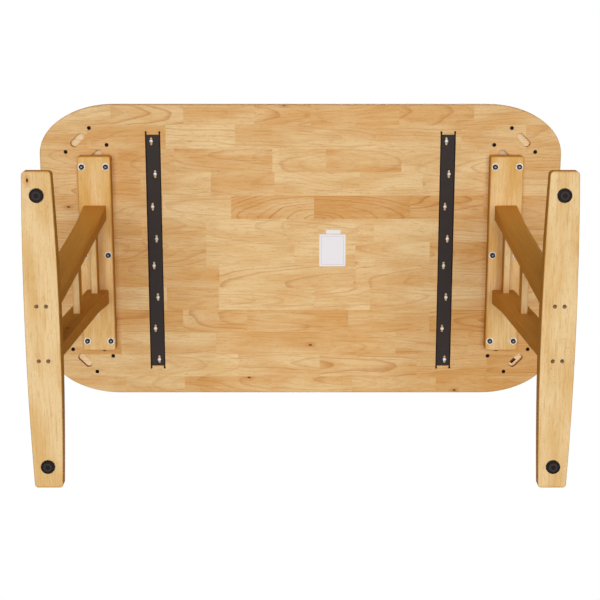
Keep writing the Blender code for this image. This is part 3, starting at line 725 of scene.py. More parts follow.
def satin_rubberwood(name, wood, gloss, roughness):
    """Rubberwood, planed and satin lacquered; gloss is the specular level of its finish.

    To the eye: straw to honey sticks, ring lines that arch where a stick is flat-sawn, short dark
    vessel dashes, now and then a pin knot, and a soft lacquer gloss.
    """
    surface, tree, shader = new_surface(name)
    if tree is None:
        return surface
    smooth = {"interpolation_type": "SMOOTHSTEP"}
    grain, pith, stick = (add(tree, "Attribute", out="Vector", attribute_name=mark)
                          for mark in ("grain", "pith", "stick"))
    pith_across, pith_depth, pith_slope = add(tree, "SeparateXYZ", (pith,)).node.outputs
    tone, seed, figure = add(tree, "SeparateXYZ", (stick,)).node.outputs
    place = add(tree, "VectorMath", (seed, STICK_SPREAD, grain), operation="MULTIPLY_ADD")
    noise = {}
    for pattern, (along, across, detail, crumble) in WOOD_PATTERNS.items():
        per_metre = (1000 / along, 1000 / across, 1000 / across)
        stretched = add(tree, "VectorMath", (place, per_metre), operation="MULTIPLY")
        inputs = {"Vector": stretched, "Scale": 1.0, "Detail": detail, "Roughness": crumble}
        noise[pattern] = add(tree, "TexNoise", inputs, "Color" if pattern == "wander" else "Fac")

    # Rings round a pith that slopes away along the stick, so that they arch on a flat-sawn face
    swerve = add(tree, "VectorMath", (noise["wander"], (0.5, 0.5, 0.5)), operation="SUBTRACT")
    bent = add(tree, "VectorMath", (swerve, RING_WANDER, grain), operation="MULTIPLY_ADD")
    along, across, deep = add(tree, "SeparateXYZ", (bent,)).node.outputs
    across = add(tree, "Math", (across, pith_across), operation="SUBTRACT")
    deep = add(tree, "Math", (deep, pith_depth), operation="SUBTRACT")
    slope = add(tree, "Math", (pith_slope, along), operation="MULTIPLY")
    deep = add(tree, "Math", (deep, slope), operation="SUBTRACT")
    from_pith = add(tree, "CombineXYZ", {"Y": across, "Z": deep})
    radius = add(tree, "VectorMath", (from_pith,), "Value", operation="LENGTH")
    rings = add(tree, "Math", (radius, wood.ring_width), operation="DIVIDE")

    # Each ring darkens towards its late wood, some rings more than others
    ring_number = add(tree, "Math", (rings,), operation="FLOOR")
    ring_number = add(tree, "Math", (ring_number, seed), operation="ADD")
    strength = add(tree, "TexWhiteNoise", {"W": ring_number}, "Value", noise_dimensions="1D")
    strength = add(tree, "MapRange", (strength, 0.0, 1.0, *RING_STRENGTH), **smooth)
    late_wood = add(tree, "Math", (rings,), operation="FRACT")
    late_wood = add(tree, "MapRange", (late_wood, *LATE_WOOD), **smooth)
    line = add(tree, "Math", (late_wood, strength), operation="MULTIPLY")
    line = add(tree, "Math", (line, figure), operation="MULTIPLY")
    line = add(tree, "Math", (line, RING_SHARE), operation="MULTIPLY", use_clamp=True)

    # Pin knots, each in a halo, in about one cell of fourteen
    x, y, z = add(tree, "SeparateXYZ", (place,)).node.outputs
    level = add(tree, "Math", (y, z), operation="ADD")
    spot = add(tree, "CombineXYZ", (x, level))
    spot = add(tree, "VectorMath", (spot, [1000 / size for size in KNOT_CELL]), operation="MULTIPLY")
    cells = add(tree, "TexVoronoi", {"Vector": spot, "Scale": 1.0}, voronoi_dimensions="2D").node.outputs
    chosen = add(tree, "SeparateXYZ", (cells["Color"],))
    chosen = add(tree, "Math", (chosen, KNOTLESS), operation="GREATER_THAN")
    halo = add(tree, "MapRange", (cells["Distance"], *HALO), **smooth)
    halo = add(tree, "Math", (halo, chosen), operation="MULTIPLY")
    knot = add(tree, "MapRange", (cells["Distance"], *KNOT), **smooth)
    knot = add(tree, "Math", (knot, chosen), operation="MULTIPLY")

    # Clouds of warmer wood, vessel dashes and their bundles, patches of specks, dark and pale fibres
    mark = {name: add(tree, "MapRange", (noise[pattern], *span), **smooth)
            for name, (pattern, *span) in WOOD_MARKS.items()}
    dashes = add(tree, "Math", (mark["vessel"], DASH_SHARE), operation="MULTIPLY")
    speck = add(tree, "Math", (mark["speck"], mark["patch"]), operation="MULTIPLY")
    unstained = add(tree, "Math", (tone, *PALE_FADE), operation="MULTIPLY_ADD", use_clamp=True)
    pale_fibre = add(tree, "Math", (mark["pale_fibre"], unstained), operation="MULTIPLY")

    # Shares of the tones, then the layers of colour from the ground up
    warm = add(tree, "Math", (tone, mark["cloud"]), operation="ADD", use_clamp=True)
    heart = add(tree, "Math", (tone, 1.0), operation="SUBTRACT", use_clamp=True)
    # Painted shade deep in the cuts, from tone 2 up
    deep_shade = add(tree, "Math", (tone, 2.0), operation="SUBTRACT", use_clamp=True)
    bare = add(tree, "Math", (tone, -1.0), operation="MULTIPLY", use_clamp=True)
    tint = (*wood.pale, 1.0)
    for share, stain in (
        (warm, wood.honey), (heart, wood.heart), (bare, linear(BARE_WOOD)), (line, wood.ring),
        (mark["dark_fibre"], wood.ring), (pale_fibre, wood.pale), (dashes, wood.heart),
        (mark["fleck"], wood.ring), (speck, linear(SPECK)), (halo, wood.heart), (knot, linear(PIN_KNOT)),
        (deep_shade, linear(DEEP_SHADE_WOOD)),
    ):
        tint = add(tree, "Mix", {0: share, 6: tint, 7: (*stain, 1.0)}, 2, data_type="RGBA")

    pores = add(tree, "Math", (mark["vessel"], PORE_RELIEF), operation="MULTIPLY")
    ridges = add(tree, "Math", (noise["fibre"], FIBRE_RELIEF), operation="MULTIPLY")
    height = add(tree, "Math", (ridges, pores), operation="SUBTRACT")
    bump = add(tree, "Bump", {**WOOD_RELIEF, "Height": height})
    gloss_span = (roughness - SATIN_SPREAD, roughness + SATIN_SPREAD)
    satin = add(tree, "MapRange", (noise["fibre"], *FIBRE_SPAN, *gloss_span), **smooth)
    tree.links.new(tint, shader.inputs["Base Color"])
    tree.links.new(satin, shader.inputs["Roughness"])
    tree.links.new(bump, shader.inputs["Normal"])
    shader.inputs["IOR"].default_value = LACQUER_IOR
    shader.inputs["Specular IOR Level"].default_value = gloss
    return surface


def stave_wood(board):
    """Rubberwood staves, glued, sanded and lacquered: a satin sheen."""
    return satin_rubberwood("satin_rubberwood_staves", board, gloss=0.12, roughness=0.47)


def trestle_wood(trestle):
    """Solid rubberwood, shaped and lacquered thin: nearly matt."""
    return satin_rubberwood("satin_rubberwood_solid", trestle, gloss=0.01, roughness=0.70)


def mottled(name, tint, variation, roughness, grit, depth, metallic=0.0, specular=0.5):
    """A finish whose colour, gloss and level change a little from place to place.

    grit is the size of its grains and depth how far they stand out, both in mm; variation is the
    share by which its colour darkens and lightens.
    """
    surface, tree, shader = new_surface(name)
    if tree is None:
        return surface
    place = add(tree, "TexCoord", out="Object")
    per_metre = 1000 / grit
    grains = add(tree, "TexNoise", {"Vector": place, "Scale": per_metre, "Detail": 3.0}, "Fac")
    patches = add(tree, "TexNoise", {"Vector": place, "Scale": PATCH_SHARE * per_metre, "Detail": 2.0}, "Fac")
    both = add(tree, "Math", (grains, patches), operation="ADD")
    share = add(tree, "MapRange", (both, *MOTTLE_SPAN))
    dark = (*[c * (1 - variation) for c in tint], 1.0)
    light = (*[min(1.0, c * (1 + variation)) for c in tint], 1.0)
    tinted = add(tree, "Mix", {0: share, 6: dark, 7: light}, 2, data_type="RGBA")
    gloss_span = [roughness * (1 + sign * GLOSS_SPREAD) for sign in (-1, 1)]
    gloss = add(tree, "MapRange", (patches, *PATCH_SPAN, *gloss_span))
    bump = add(tree, "Bump", {"Strength": GRIT_RELIEF, "Distance": depth / 1000, "Height": grains})
    tree.links.new(tinted, shader.inputs["Base Color"])
    tree.links.new(gloss, shader.inputs["Roughness"])
    tree.links.new(bump, shader.inputs["Normal"])
    shader.inputs["Metallic"].default_value = metallic
    shader.inputs["Specular IOR Level"].default_value = specular
    return surface


def stoved_steel(fitting):
    """Sheet steel, pressed and stove painted: black-brown, half matt, with a fine orange peel."""
    return mottled("stoved_paint_on_steel", fitting.channel, variation=0.12, roughness=0.46, grit=1.6,
                   depth=0.08, specular=0.15)


def zinc_steel(fitting):
    """Steel, headed and zinc plated: bright and slightly cloudy."""
    return mottled("zinc_plated_steel", fitting.zinc, variation=0.10, roughness=0.30, grit=1.2, depth=0.03,
                   metallic=1.0)


def shaded_zinc_steel(fitting):
    """Zinc plated steel deep in a bore: darker and brownish as painted shade, and rough."""
    return mottled("dulled_zinc_plated_steel", fitting.shaded_zinc, variation=0.20, roughness=0.50, grit=1.2,
                   depth=0.04, metallic=1.0)


def black_steel(fitting):
    """Steel, headed and blackened: dark, oily and half glossy."""
    return mottled("blackened_steel", fitting.black, variation=0.20, roughness=0.42, grit=1.0, depth=0.03,
                   specular=0.2)


def key_worn_steel(fitting):
    """The same steel made lighter grey on the sockets' floors: a painted highlight, the light spot in each
    socket.
    """
    return mottled("key_worn_steel", fitting.worn, variation=0.15, roughness=0.50, grit=1.0, depth=0.03,
                   metallic=1.0)


def moulded_nylon(fitting):
    """Nylon, injection moulded with a fine spark texture: dark and dull."""
    return mottled("moulded_nylon", fitting.nylon, variation=0.15, roughness=0.50, grit=0.8, depth=0.05,
                   specular=0.15)


def rubbed_nylon(fitting):
    """The same nylon where it is rubbed grey by a floor."""
    return mottled("rubbed_nylon", fitting.pad, variation=0.15, roughness=0.62, grit=1.0, depth=0.06,
                   specular=0.1)


def printed_rule(fitting):
    """Thin grey printing ink: the plain frame round the label."""
    return mottled("grey_printing_ink", fitting.ink, variation=0.05, roughness=0.55, grit=0.9, depth=0.02,
                   specular=0.3)


def label_paper(fitting):
    """Coated paper, blank: white with a faint tooth."""
    return mottled("coated_paper", fitting.paper, variation=0.02, roughness=0.55, grit=0.9, depth=0.02,
                   specular=0.3)


def add_stick(node, title, shape, trestle, x, z_middle, seed, tone, **grain):
    """Makes a finished piece of solid wood from a bmesh, in place of its CAD node."""
    stick = bare_object(f"{title}_{node}", shape)
    long_grain(stick.data, x, z_middle, seed, tone, trestle.figure, **grain)
    dress(stick, [trestle_wood(trestle)], (node,))


# Operators, one for each group of pieces


class TABLE_OT_board(bpy.types.Operator):
    """Make the laminated top, with its recesses, pockets and holes"""

    bl_idname = "table.board"
    bl_label = "Laminated top"

    def execute(self, context):
        board, fitting = context.scene.table.board, context.scene.table.fitting
        sizes = (TOP_HIGH.x, TOP_HIGH.y, board.corner_along, board.corner_across)
        shape = slab(0.0, sizes, UNDERSIDE, TOP_HIGH.z, board.arris, corner_steps=24, edge_steps=5)
        beds, kerfs, kerf_ends = self.channel_cuts(fitting)
        holes = self.corner_cuts(board, fitting)
        shape = carve(shape, beds, kerfs, holes, kerf_ends, self.mortise(board))
        bmesh.ops.triangulate(shape, faces=shape.faces)
        self.saw_staves(shape, board)
        top = bare_object("laminated_top", shape)
        self.mark_staves(top.data, board)
        dress(top, [stave_wood(board)], ("table_top",))
        return {"FINISHED"}

    @staticmethod
    def channel_cuts(fitting):
        """Cutters for the channels' beds, the kerfs of their flanges and the kerfs' drilled ends."""
        below = UNDERSIDE - PAST
        beds, kerfs, kerf_ends = (bmesh.new() for _ in range(3))
        for side_name, _ in SIDES:
            low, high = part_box(f"channel_{side_name}")
            x, half = (low.x + high.x) / 2, (high.x - low.x) / 2
            bed = rounded_rectangle(half + HAIR, high.y + BED_GAP, BED_CORNER, BED_CORNER, steps=2)
            prism([(x + u, v) for u, v in bed], below, UNDERSIDE + fitting.sheet + HAIR, beds)
            for lane in (-1, 1):
                flange = x + lane * (half - fitting.sheet / 2)
                kerf = oblong(flange, 0.0, 2 * (high.y + KERF_OVERRUN), KERF_WIDTH, QUARTER, steps=8)
                prism(kerf, below, UNDERSIDE + KERF_DEPTH, kerfs)
                stops = [(flange, end * (high.y + KERF_END_OVERRUN)) for _, end in ENDS]
                peg(KERF_END_RADIUS, below, UNDERSIDE + KERF_END_DEPTH, fitting.sides, stops, kerf_ends)
        return beds, kerfs, kerf_ends

    def corner_cuts(self, board, fitting):
        """Cutter for the holes of the inserts, and for the pockets with their chamfered mouths."""
        below, mouth, floor = (UNDERSIDE + rise for rise in (-PAST, board.pocket_break, board.pocket_depth))
        inserts = [middle_of(node) for node in nodes_of("corner_insert")]
        holes = peg(INSERT_HOLE, below, UNDERSIDE + INSERT_HOLE_DEPTH, fitting.sides, inserts)
        span, width = board.pocket_length, board.pocket_width
        for x, y, heading in self.pockets().values():
            wide, narrow = (oblong(x, y, span + 2 * grow, width + 2 * grow, heading, steps=10)
                            for grow in (board.pocket_break, 0.0))
            levels = ((wide, below), (wide, UNDERSIDE), (narrow, mouth), (narrow, floor))
            loft([[(u, v, z) for u, v in outline] for outline, z in levels], holes)
        return holes

    @staticmethod
    def pockets():
        """Middle and heading of each routed pocket: two in a corner, between the inserts of their row."""
        places = {}
        for end_name, _ in ENDS:
            for side_name, _ in SIDES:
                corner = f"corner_insert_{end_name}_{side_name}"
                first, second, third = (middle_of(f"{corner}_{number}") for number in (1, 2, 3))
                along, across = second[0] - first[0], second[1] - first[1]
                heading = math.atan2(across, along)
                for row, (x, y) in (("outer", first), ("inner", third)):
                    places[end_name, side_name, row] = (x + along / 2, y + across / 2, heading)
        return places

    def mortise(self, board):
        """Cutter for a small square-cornered mortise, only in one pocket."""
        x, y, heading = self.pockets()["back", "right", "outer"]
        c, s = math.cos(heading), math.sin(heading)
        half_sides = (board.mortise_length / 2, board.mortise_width / 2)
        outline = rounded_rectangle(*half_sides, MORTISE_CORNER, MORTISE_CORNER, steps=3)
        outline = [(u + MORTISE_PLACE[0], v + MORTISE_PLACE[1]) for u, v in outline]
        outline = [(x + u * c + v * s, y + u * s - v * c) for u, v in outline]
        return prism(outline, UNDERSIDE + board.pocket_depth / 2, UNDERSIDE + board.mortise_depth)

    @staticmethod
    def row_edges(board):
        """Where the rows of staves begin and end, from the front edge of the top to its back edge."""
        lines = [ROW_START + board.stave_width * i for i in range(len(BUTT_JOINTS) - 1)]
        return [TOP_LOW.y] + lines + [TOP_HIGH.y]

    def saw_staves(self, shape, board):
        """Splits the board's faces along the joints between its staves."""
        edges = self.row_edges(board)
        for y in edges[1:-1]:
            parts = shape.verts[:] + shape.edges[:] + shape.faces[:]
            bmesh.ops.bisect_plane(shape, geom=parts, plane_co=(0.0, y, 0.0), plane_no=(0.0, 1.0, 0.0))
        for row, joints in enumerate(BUTT_JOINTS):
            for joint in joints:
                inside = [face for face in shape.faces
                          if edges[row] < face.calc_center_bounds().y < edges[row + 1]]
                parts = set(inside)
                for face in inside:
                    parts.update(face.verts, face.edges)
                bmesh.ops.bisect_plane(shape, geom=list(parts), plane_co=(joint / 1000, 0.0, 0.0),
                                       plane_no=(1.0, 0.0, 0.0))

    def mark_staves(self, mesh, board):
        """Gives every stave its own wood."""
        draw = random.Random(STAVE_SEED)
        edges = self.row_edges(board)
        rows = []
        for row, joints in enumerate(BUTT_JOINTS):
            stops = [TOP_LOW.x] + [joint / 1000 for joint in joints] + [TOP_HIGH.x]
            sticks = []
            for place, (start, stop) in enumerate(zip(stops, stops[1:])):
                stick = stick_from_log(draw, *MARKED_STAVES.get((row, place), (None, None)))
                stick["pith"] = FLAMED_STAVES.get((row, place), stick["pith"])
                stick["middle"] = ((start + stop) / 2, (edges[row] + edges[row + 1]) / 2)
                sticks.append(stick)
            rows.append((stops, sticks))
        tone_of = self.tones(board)

        def stick_of(face):
            centre = face.center
            stops, sticks = rows[sum(centre.y > y for y in edges[1:-1])]
            stick = sticks[sum(centre.x > stop for stop in stops[1:-1])]
            x, y = stick["middle"]
            lean = stick["lean"]

            def place_in(point):
                along, across = point.x - x, point.y - y
                return along + lean * across, across - lean * along, point.z - UNDERSIDE

            return {**stick, "tone": tone_of(face, stick["tone"])}, place_in

        mark_grain(mesh, stick_of)

    def tones(self, board):
        """A function that gives a face's tone: its stave's, with lacquer and painted shade on the rim, bare
        wood on pocket floors, or painted shade in the cuts.
        """
        pockets = [(x, y) for x, y, _ in self.pockets().values()]
        holes = [middle_of(node) for node in nodes_of("corner_insert")]
        channels = [middle_of(f"channel_{side_name}")[0] for side_name, _ in SIDES]
        kerf_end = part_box("channel_left")[1].y + KERF_END_REACH

        def tone_of(face, tone):
            x, y, z = face.center
            up = face.normal.z
            in_kerf = abs(y) < kerf_end and any(abs(x - u) < CHANNEL_REACH for u in channels)
            in_pocket = any(math.hypot(x - u, y - v) < POCKET_REACH * board.pocket_length for u, v in pockets)
            in_hole = any(math.hypot(x - u, y - v) < HOLE_REACH for u, v in holes)
            # Painted shade: deep in any cut, and on all walls of the kerfs
            if (in_kerf or in_pocket or in_hole) and up < LEVEL and z > UNDERSIDE + DEEP_SHADE_DEPTH:
                return DEEP_SHADE_TONE
            if up < -LEVEL:
                on_floor = in_pocket and z > UNDERSIDE + board.pocket_depth / 2
                return BARE_TONE if on_floor else tone
            if in_kerf and up < LEVEL:
                return DEEP_SHADE_TONE
            # Painted shade on the pockets' upright walls
            if in_pocket and abs(up) < UPRIGHT:
                return POCKET_WALL_SHADE_TONE
            # Lacquer darkens the upper face and rim; painted shade darkens faces by how upright they are, the
            # rim most
            return tone + LACQUER_TONE * (1 + min(0.0, up)) + RIM_SHADE_TONE * (1 - abs(up))

        return tone_of


class TABLE_OT_channels(bpy.types.Operator):
    """Make the pressed steel channels and the screws in their slots"""

    bl_idname = "table.channels"
    bl_label = "Steel channels"

    def execute(self, context):
        fitting = context.scene.table.fitting
        places = self.slot_places(fitting)
        for side_name, _ in SIDES:
            node = f"channel_{side_name}"
            low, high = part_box(node)
            x, half = (low.x + high.x) / 2, (high.x - low.x) / 2
            section = self.section(fitting, half)
            body = loft([[(x + u, y, UNDERSIDE + v) for u, v in section] for y in (low.y, high.y)])
            slots, screws = bmesh.new(), bmesh.new()
            for number, (offset, y) in enumerate(places):
                outline = oblong(x + offset, y, fitting.slot_length, fitting.slot_width, QUARTER, steps=10)
                prism(outline, UNDERSIDE - fitting.sheet, UNDERSIDE + 2 * fitting.sheet, slots)
                self.pan_head(screws, fitting, x + offset, y, CROSS_TURN * number)
            body = carve(body, slots)
            add_piece(f"pressed_{node}", body, [stoved_steel(fitting)], (node,))
            add_piece(f"pan_head_screws_{side_name}", screws, [zinc_steel(fitting)], (node,))
        return {"FINISHED"}

    @staticmethod
    def slot_places(fitting):
        """Middles of one channel's slots; they step from side to side along it."""
        half = [fitting.slot_middle / 2 + fitting.slot_pitch * i for i in range(SLOTS_EACH_WAY)]
        rows = sorted([-y for y in half] + half)
        return [(fitting.slot_stagger if i % 2 else -fitting.slot_stagger, y) for i, y in enumerate(rows)]

    @staticmethod
    def section(fitting, half):
        """U outline across a channel, as x and height above the underside."""
        sheet, outer = fitting.sheet, fitting.bend
        inner = outer - sheet
        outline = [(-half, FLANGE_HEIGHT)]
        outline += arc(outer - half, outer, outer, outer, math.pi, QUARTER, steps=6)
        outline += arc(half - outer, outer, outer, outer, 3 * QUARTER, QUARTER, steps=6)
        outline += [(half, FLANGE_HEIGHT), (half - sheet, FLANGE_HEIGHT)]
        turn_in = half - sheet - inner
        outline += arc(turn_in, sheet + inner, inner, inner, 0.0, -QUARTER, steps=6)
        outline += arc(-turn_in, sheet + inner, inner, inner, -QUARTER, -QUARTER, steps=6)
        outline.append((sheet - half, FLANGE_HEIGHT))
        return outline

    @staticmethod
    def pan_head(shape, fitting, x, y, turn):
        """A domed head with a cross recess, on a short shank."""
        head = fitting.screw_head / 2
        steps = 8
        dome = [(max(head * math.cos(a), POINT), -PAN_RISE * (PAN_EDGE + (1 - PAN_EDGE) * math.sin(a)))
                for a in (QUARTER * (1 - i / steps) for i in range(steps + 1))]
        profile = [(radius, UNDERSIDE + z) for radius, z in (*dome, (head, 0.0), *PAN_SHANK)]
        blank = turned(profile, fitting.sides, ((x, y),))
        corners = ((CROSS_ARM, -CROSS_HALF), (CROSS_ARM, CROSS_HALF), (CROSS_HALF, CROSS_HALF))
        outline = []
        for lean in range(4):
            c, s = math.cos(turn + lean * QUARTER), math.sin(turn + lean * QUARTER)
            outline += [(x + u * c - v * s, y + u * s + v * c) for u, v in corners]
        carved = carve(blank, prism(outline, UNDERSIDE - PAST, UNDERSIDE - CROSS_FLOOR * PAN_RISE))
        mesh = bpy.data.meshes.new("one_screw")
        carved.to_mesh(mesh)
        carved.free()
        shape.from_mesh(mesh)
        bpy.data.meshes.remove(mesh)


class TABLE_OT_inserts(bpy.types.Operator):
    """Make the spare threaded inserts in the corners of the top"""

    bl_idname = "table.inserts"
    bl_label = "Corner inserts"

    def execute(self, context):
        fitting = context.scene.table.fitting
        low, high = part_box(nodes_of("corner_insert")[0])
        outer, deep = (high.x - low.x) / 2, high.z - low.z
        thread = [(INSERT_BORE + THREAD_DEPTH * (i % 2), THREAD_START + THREAD_HALF_PITCH * i)
                  for i in range(THREAD_STEPS)]
        profile = [(outer - INSERT_EDGE, 0.0), (outer, INSERT_EDGE), (outer, deep), (INSERT_BORE, deep)]
        shape = turned([*profile, *reversed(thread), *INSERT_MOUTH], fitting.sides, closed=True)
        add_copies("corner_insert", "threaded_insert", shape, [black_steel(fitting)], low.z)
        return {"FINISHED"}


class TABLE_OT_cleats(bpy.types.Operator):
    """Make the wooden top plates of the trestles"""

    bl_idname = "table.cleats"
    bl_label = "Cleats"

    def execute(self, context):
        trestle, fitting = context.scene.table.trestle, context.scene.table.fitting
        for side_name, side in SIDES:
            node = f"cleat_{side_name}"
            low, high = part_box(node)
            x = side * TRESTLE_X
            sizes = ((high.x - low.x) / 2, high.y, trestle.cleat_corner, trestle.cleat_corner)
            shape = slab(x, sizes, low.z, high.z, trestle.cleat_edge, corner_steps=8, edge_steps=5)
            places = [middle_of(bolt) for bolt in nodes_of(f"cleat_bolt_{side_name}")]
            holes = peg(BOLT_HOLE, low.z - PAST, high.z + PAST, fitting.sides, places)
            z_middle = (low.z + high.z) / 2
            add_stick(node, "shaped", carve(shape, holes), trestle, x, z_middle, CLEAT_SEED + side,
                      CLEAT_TONE)
        return {"FINISHED"}


class TABLE_OT_bolts(bpy.types.Operator):
    """Make the socket-head bolts and washers that hold the cleats to the top"""

    bl_idname = "table.bolts"
    bl_label = "Bolts and washers"

    def execute(self, context):
        fitting = context.scene.table.fitting
        face, tip = (corner.z - CLEAT_LOW.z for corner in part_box(nodes_of("cleat_bolt")[0]))
        head = fitting.bolt_head / 2
        under = -WASHER_THICK - HAIR
        profile = [(POINT, face), *round_over(head, face, BOLT_ROUND, steps=6), (head, under),
                   (BOLT_SHANK, under), (BOLT_SHANK, tip - BOLT_TAPER), (BOLT_TIP, tip)]
        socket = fitting.bolt_socket / 2 / math.cos(math.pi / 6)
        key_hole = peg(socket, face - PAST, face + BOLT_SOCKET_DEPTH, sides=6)
        bolt = carve(turned(profile, fitting.sides), key_hole)
        # Painted highlight: the floors of the sockets take the lighter grey steel
        for facet in bolt.faces:
            middle = facet.calc_center_median()
            in_socket = middle.xy.length < socket and middle.z > face + BOLT_SOCKET_DEPTH / 2
            facet.material_index = int(in_socket and facet.normal.z < -LEVEL)
        steels = [black_steel(fitting), key_worn_steel(fitting)]
        add_copies("cleat_bolt", "socket_bolt", bolt, steels, CLEAT_LOW.z)
        rim = fitting.washer / 2
        profile = [(WASHER_BORE, -WASHER_THICK), (rim - WASHER_EDGE, -WASHER_THICK),
                   (rim, WASHER_EDGE - WASHER_THICK), (rim, -HAIR), (WASHER_BORE, -HAIR)]
        washer = turned(profile, 2 * fitting.sides, closed=True)
        add_copies("cleat_bolt", "washer", washer, [zinc_steel(fitting)], CLEAT_LOW.z)
        return {"FINISHED"}


class TABLE_OT_posts(bpy.types.Operator):
    """Make the leaning posts, round on their outer faces and square under the cleats"""

    bl_idname = "table.posts"
    bl_label = "Posts"

    def execute(self, context):
        trestle = context.scene.table.trestle
        fade_steps = 8
        z_middle = (POST_LOW.z + POST_HIGH.z) / 2
        heights = [POST_LOW.z, z_middle - trestle.post_fade / 2]
        heights += [POST_HIGH.z - trestle.post_fade * (1 - i / fade_steps) for i in range(fade_steps + 1)]
        for side_name, side in SIDES:
            for end_name, end in ENDS:
                node = f"post_{end_name}_{side_name}"
                x = side * TRESTLE_X
                shape = loft([self.section(trestle, x, z, end) for z in heights])
                housings = bmesh.new()
                for rung in ("upper_rung_right", "lower_rung_right"):
                    low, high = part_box(rung)
                    outline = rectangle(x, end * high.y / 2, (high.x - low.x) / 2, high.y / 2)
                    prism(outline, low.z, high.z, housings)
                seed = POST_SEED + 2 * side + 5 * end
                # Painted shade: a post takes the darker side tone on all its faces
                add_stick(node, "shaped", carve(shape, housings), trestle, x, z_middle, seed, SHADED_SIDE_TONE,
                          y_at=lambda z: end * self.middle(trestle, z))
        return {"FINISHED"}

    @staticmethod
    def share_up(z):
        """Share of a post's height."""
        return (z - POST_LOW.z) / (POST_HIGH.z - POST_LOW.z)

    def thickness(self, trestle, z):
        """Thickness of a post at a height."""
        return trestle.post_thick_foot + (trestle.post_thick_top - trestle.post_thick_foot) * self.share_up(z)

    def middle(self, trestle, z):
        """Distance of a post's middle from the trestle's middle at a height."""
        at_foot = POST_LOW.y + trestle.post_thick_foot / 2
        at_top = POST_HIGH.y - trestle.post_thick_top / 2
        return at_foot + (at_top - at_foot) * self.share_up(z)

    def section(self, trestle, x, z, end):
        """Level outline of a post at a height."""
        half = trestle.post_width / 2
        thick = self.thickness(trestle, z)
        inner = self.middle(trestle, z) - thick / 2
        fade = min(1.0, (POST_HIGH.z - z) / trestle.post_fade)
        least = trestle.post_top_round
        rounds = [least + (full - least) * fade
                  for full in (trestle.post_outer_round, trestle.post_inner_round)]
        outline = []
        for turns, (sx, at_inner) in enumerate(((1, 0), (-1, 0), (-1, 1), (1, 1))):
            radius = rounds[at_inner]
            y = inner + radius if at_inner else inner + thick - radius
            outline += arc(sx * (half - radius), y, radius, radius, turns * QUARTER, QUARTER, steps=8)
        return [(x + u, end * v, z) for u, v in outline]


class TABLE_OT_rungs(bpy.types.Operator):
    """Make the slats between the posts"""

    bl_idname = "table.rungs"
    bl_label = "Rungs"

    def execute(self, context):
        trestle = context.scene.table.trestle
        edge = trestle.rung_edge
        for side_name, side in SIDES:
            for number, level in enumerate(("upper", "lower")):
                node = f"{level}_rung_{side_name}"
                low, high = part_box(node)
                x, z = side * TRESTLE_X, (low.z + high.z) / 2
                half_sides = ((high.x - low.x) / 2 - HAIR, (high.z - low.z) / 2 - HAIR)
                outline = rounded_rectangle(*half_sides, edge, edge, steps=5)
                shape = loft([[(x + u, y, z + v) for u, v in outline] for y in (low.y, high.y)])
                add_stick(node, "slat", shape, trestle, x, z, RUNG_SEED + 2 * side + number, RUNG_TONE)
        return {"FINISHED"}


class TABLE_OT_feet(bpy.types.Operator):
    """Make the floor rails, widest in the middle, with bores for their screws"""

    bl_idname = "table.feet"
    bl_label = "Feet"

    def execute(self, context):
        trestle, fitting = context.scene.table.trestle, context.scene.table.fitting
        seat = POST_LOW.y + trestle.post_thick_foot + FOOT_SEAT_MARGIN
        stations = self.stations(trestle, seat)
        for side_name, side in SIDES:
            node = f"foot_{side_name}"
            x = side * TRESTLE_X
            shape = loft([self.section(trestle, seat, x, y, inset) for y, inset in stations])
            places = [middle_of(screw) for screw in nodes_of(f"foot_screw_{side_name}")]
            bores = peg(FOOT_BORE, FOOT_LOW.z - PAST, FOOT_LOW.z + FOOT_BORE_DEPTH, fitting.sides, places)
            add_stick(node, "shaped", carve(shape, bores), trestle, x, FOOT_LOW.z, FOOT_SEED + side,
                      FOOT_TONE, bores=places)
        return {"FINISHED"}

    @staticmethod
    def section(trestle, seat, x, y, inset):
        """Upright outline across a foot, which thins beyond its seat for the posts."""
        half = FOOT_HIGH.y
        widest = FOOT_HIGH.x - FOOT_LOW.x
        thickest = FOOT_HIGH.z - FOOT_LOW.z
        half_x = (widest + (trestle.foot_end_width - widest) * (y / half) ** 2) / 2 - inset
        drop = inset * trestle.foot_end_drop / trestle.foot_end_round
        slope = max(0.0, abs(y) - seat) / (half - seat)
        thick = thickest + (trestle.foot_end_thick - thickest) * slope
        edge = max(FOOT_EDGE_LEFT * trestle.foot_edge, trestle.foot_edge - drop)
        outline = rounded_rectangle(half_x, thick / 2 - drop, edge, edge, steps=5)
        return [(x + u, y, FOOT_LOW.z + thick / 2 + v) for u, v in outline]

    @staticmethod
    def stations(trestle, seat):
        """Places along a foot, each with how far its rounded end draws the outline in."""
        half, end = FOOT_HIGH.y, trestle.foot_end_round
        span = half - end - seat
        steps = 8
        stations = [(0.0, 0.0), (seat / 2, 0.0)]
        stations += [(seat + span * i / steps, 0.0) for i in range(steps)]
        stations += round_over(half, 0.0, end, steps=10)
        return [(-y, inset) for y, inset in reversed(stations[1:])] + stations


class TABLE_OT_screws(bpy.types.Operator):
    """Make the screws in the feet and plate the hidden ones in the cleats"""

    bl_idname = "table.screws"
    bl_label = "Post screws"

    def execute(self, context):
        fitting = context.scene.table.fitting
        low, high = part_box(nodes_of("foot_screw")[0])
        head, deep = (high.x - low.x) / 2, high.z - low.z
        profile = [(POINT, 0.0), (head - SCREW_EDGE, 0.0), (head, SCREW_EDGE), (head, SCREW_HEAD_HEIGHT),
                   (SCREW_SHANK, SCREW_HEAD_HEIGHT), (SCREW_SHANK, deep - SCREW_TAPER), (SCREW_TIP, deep)]
        key_hole = peg(SCREW_SOCKET, -PAST, SCREW_SOCKET_DEPTH, sides=6)
        screw = carve(turned(profile, fitting.sides), key_hole)
        # Painted shade: the screws deep in the bores get the darker zinc
        add_copies("foot_screw", "socket_screw", screw, [shaded_zinc_steel(fitting)], low.z)
        for node in nodes_of("post_screw"):
            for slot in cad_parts[node].material_slots:
                slot.material = zinc_steel(fitting)
        return {"FINISHED"}


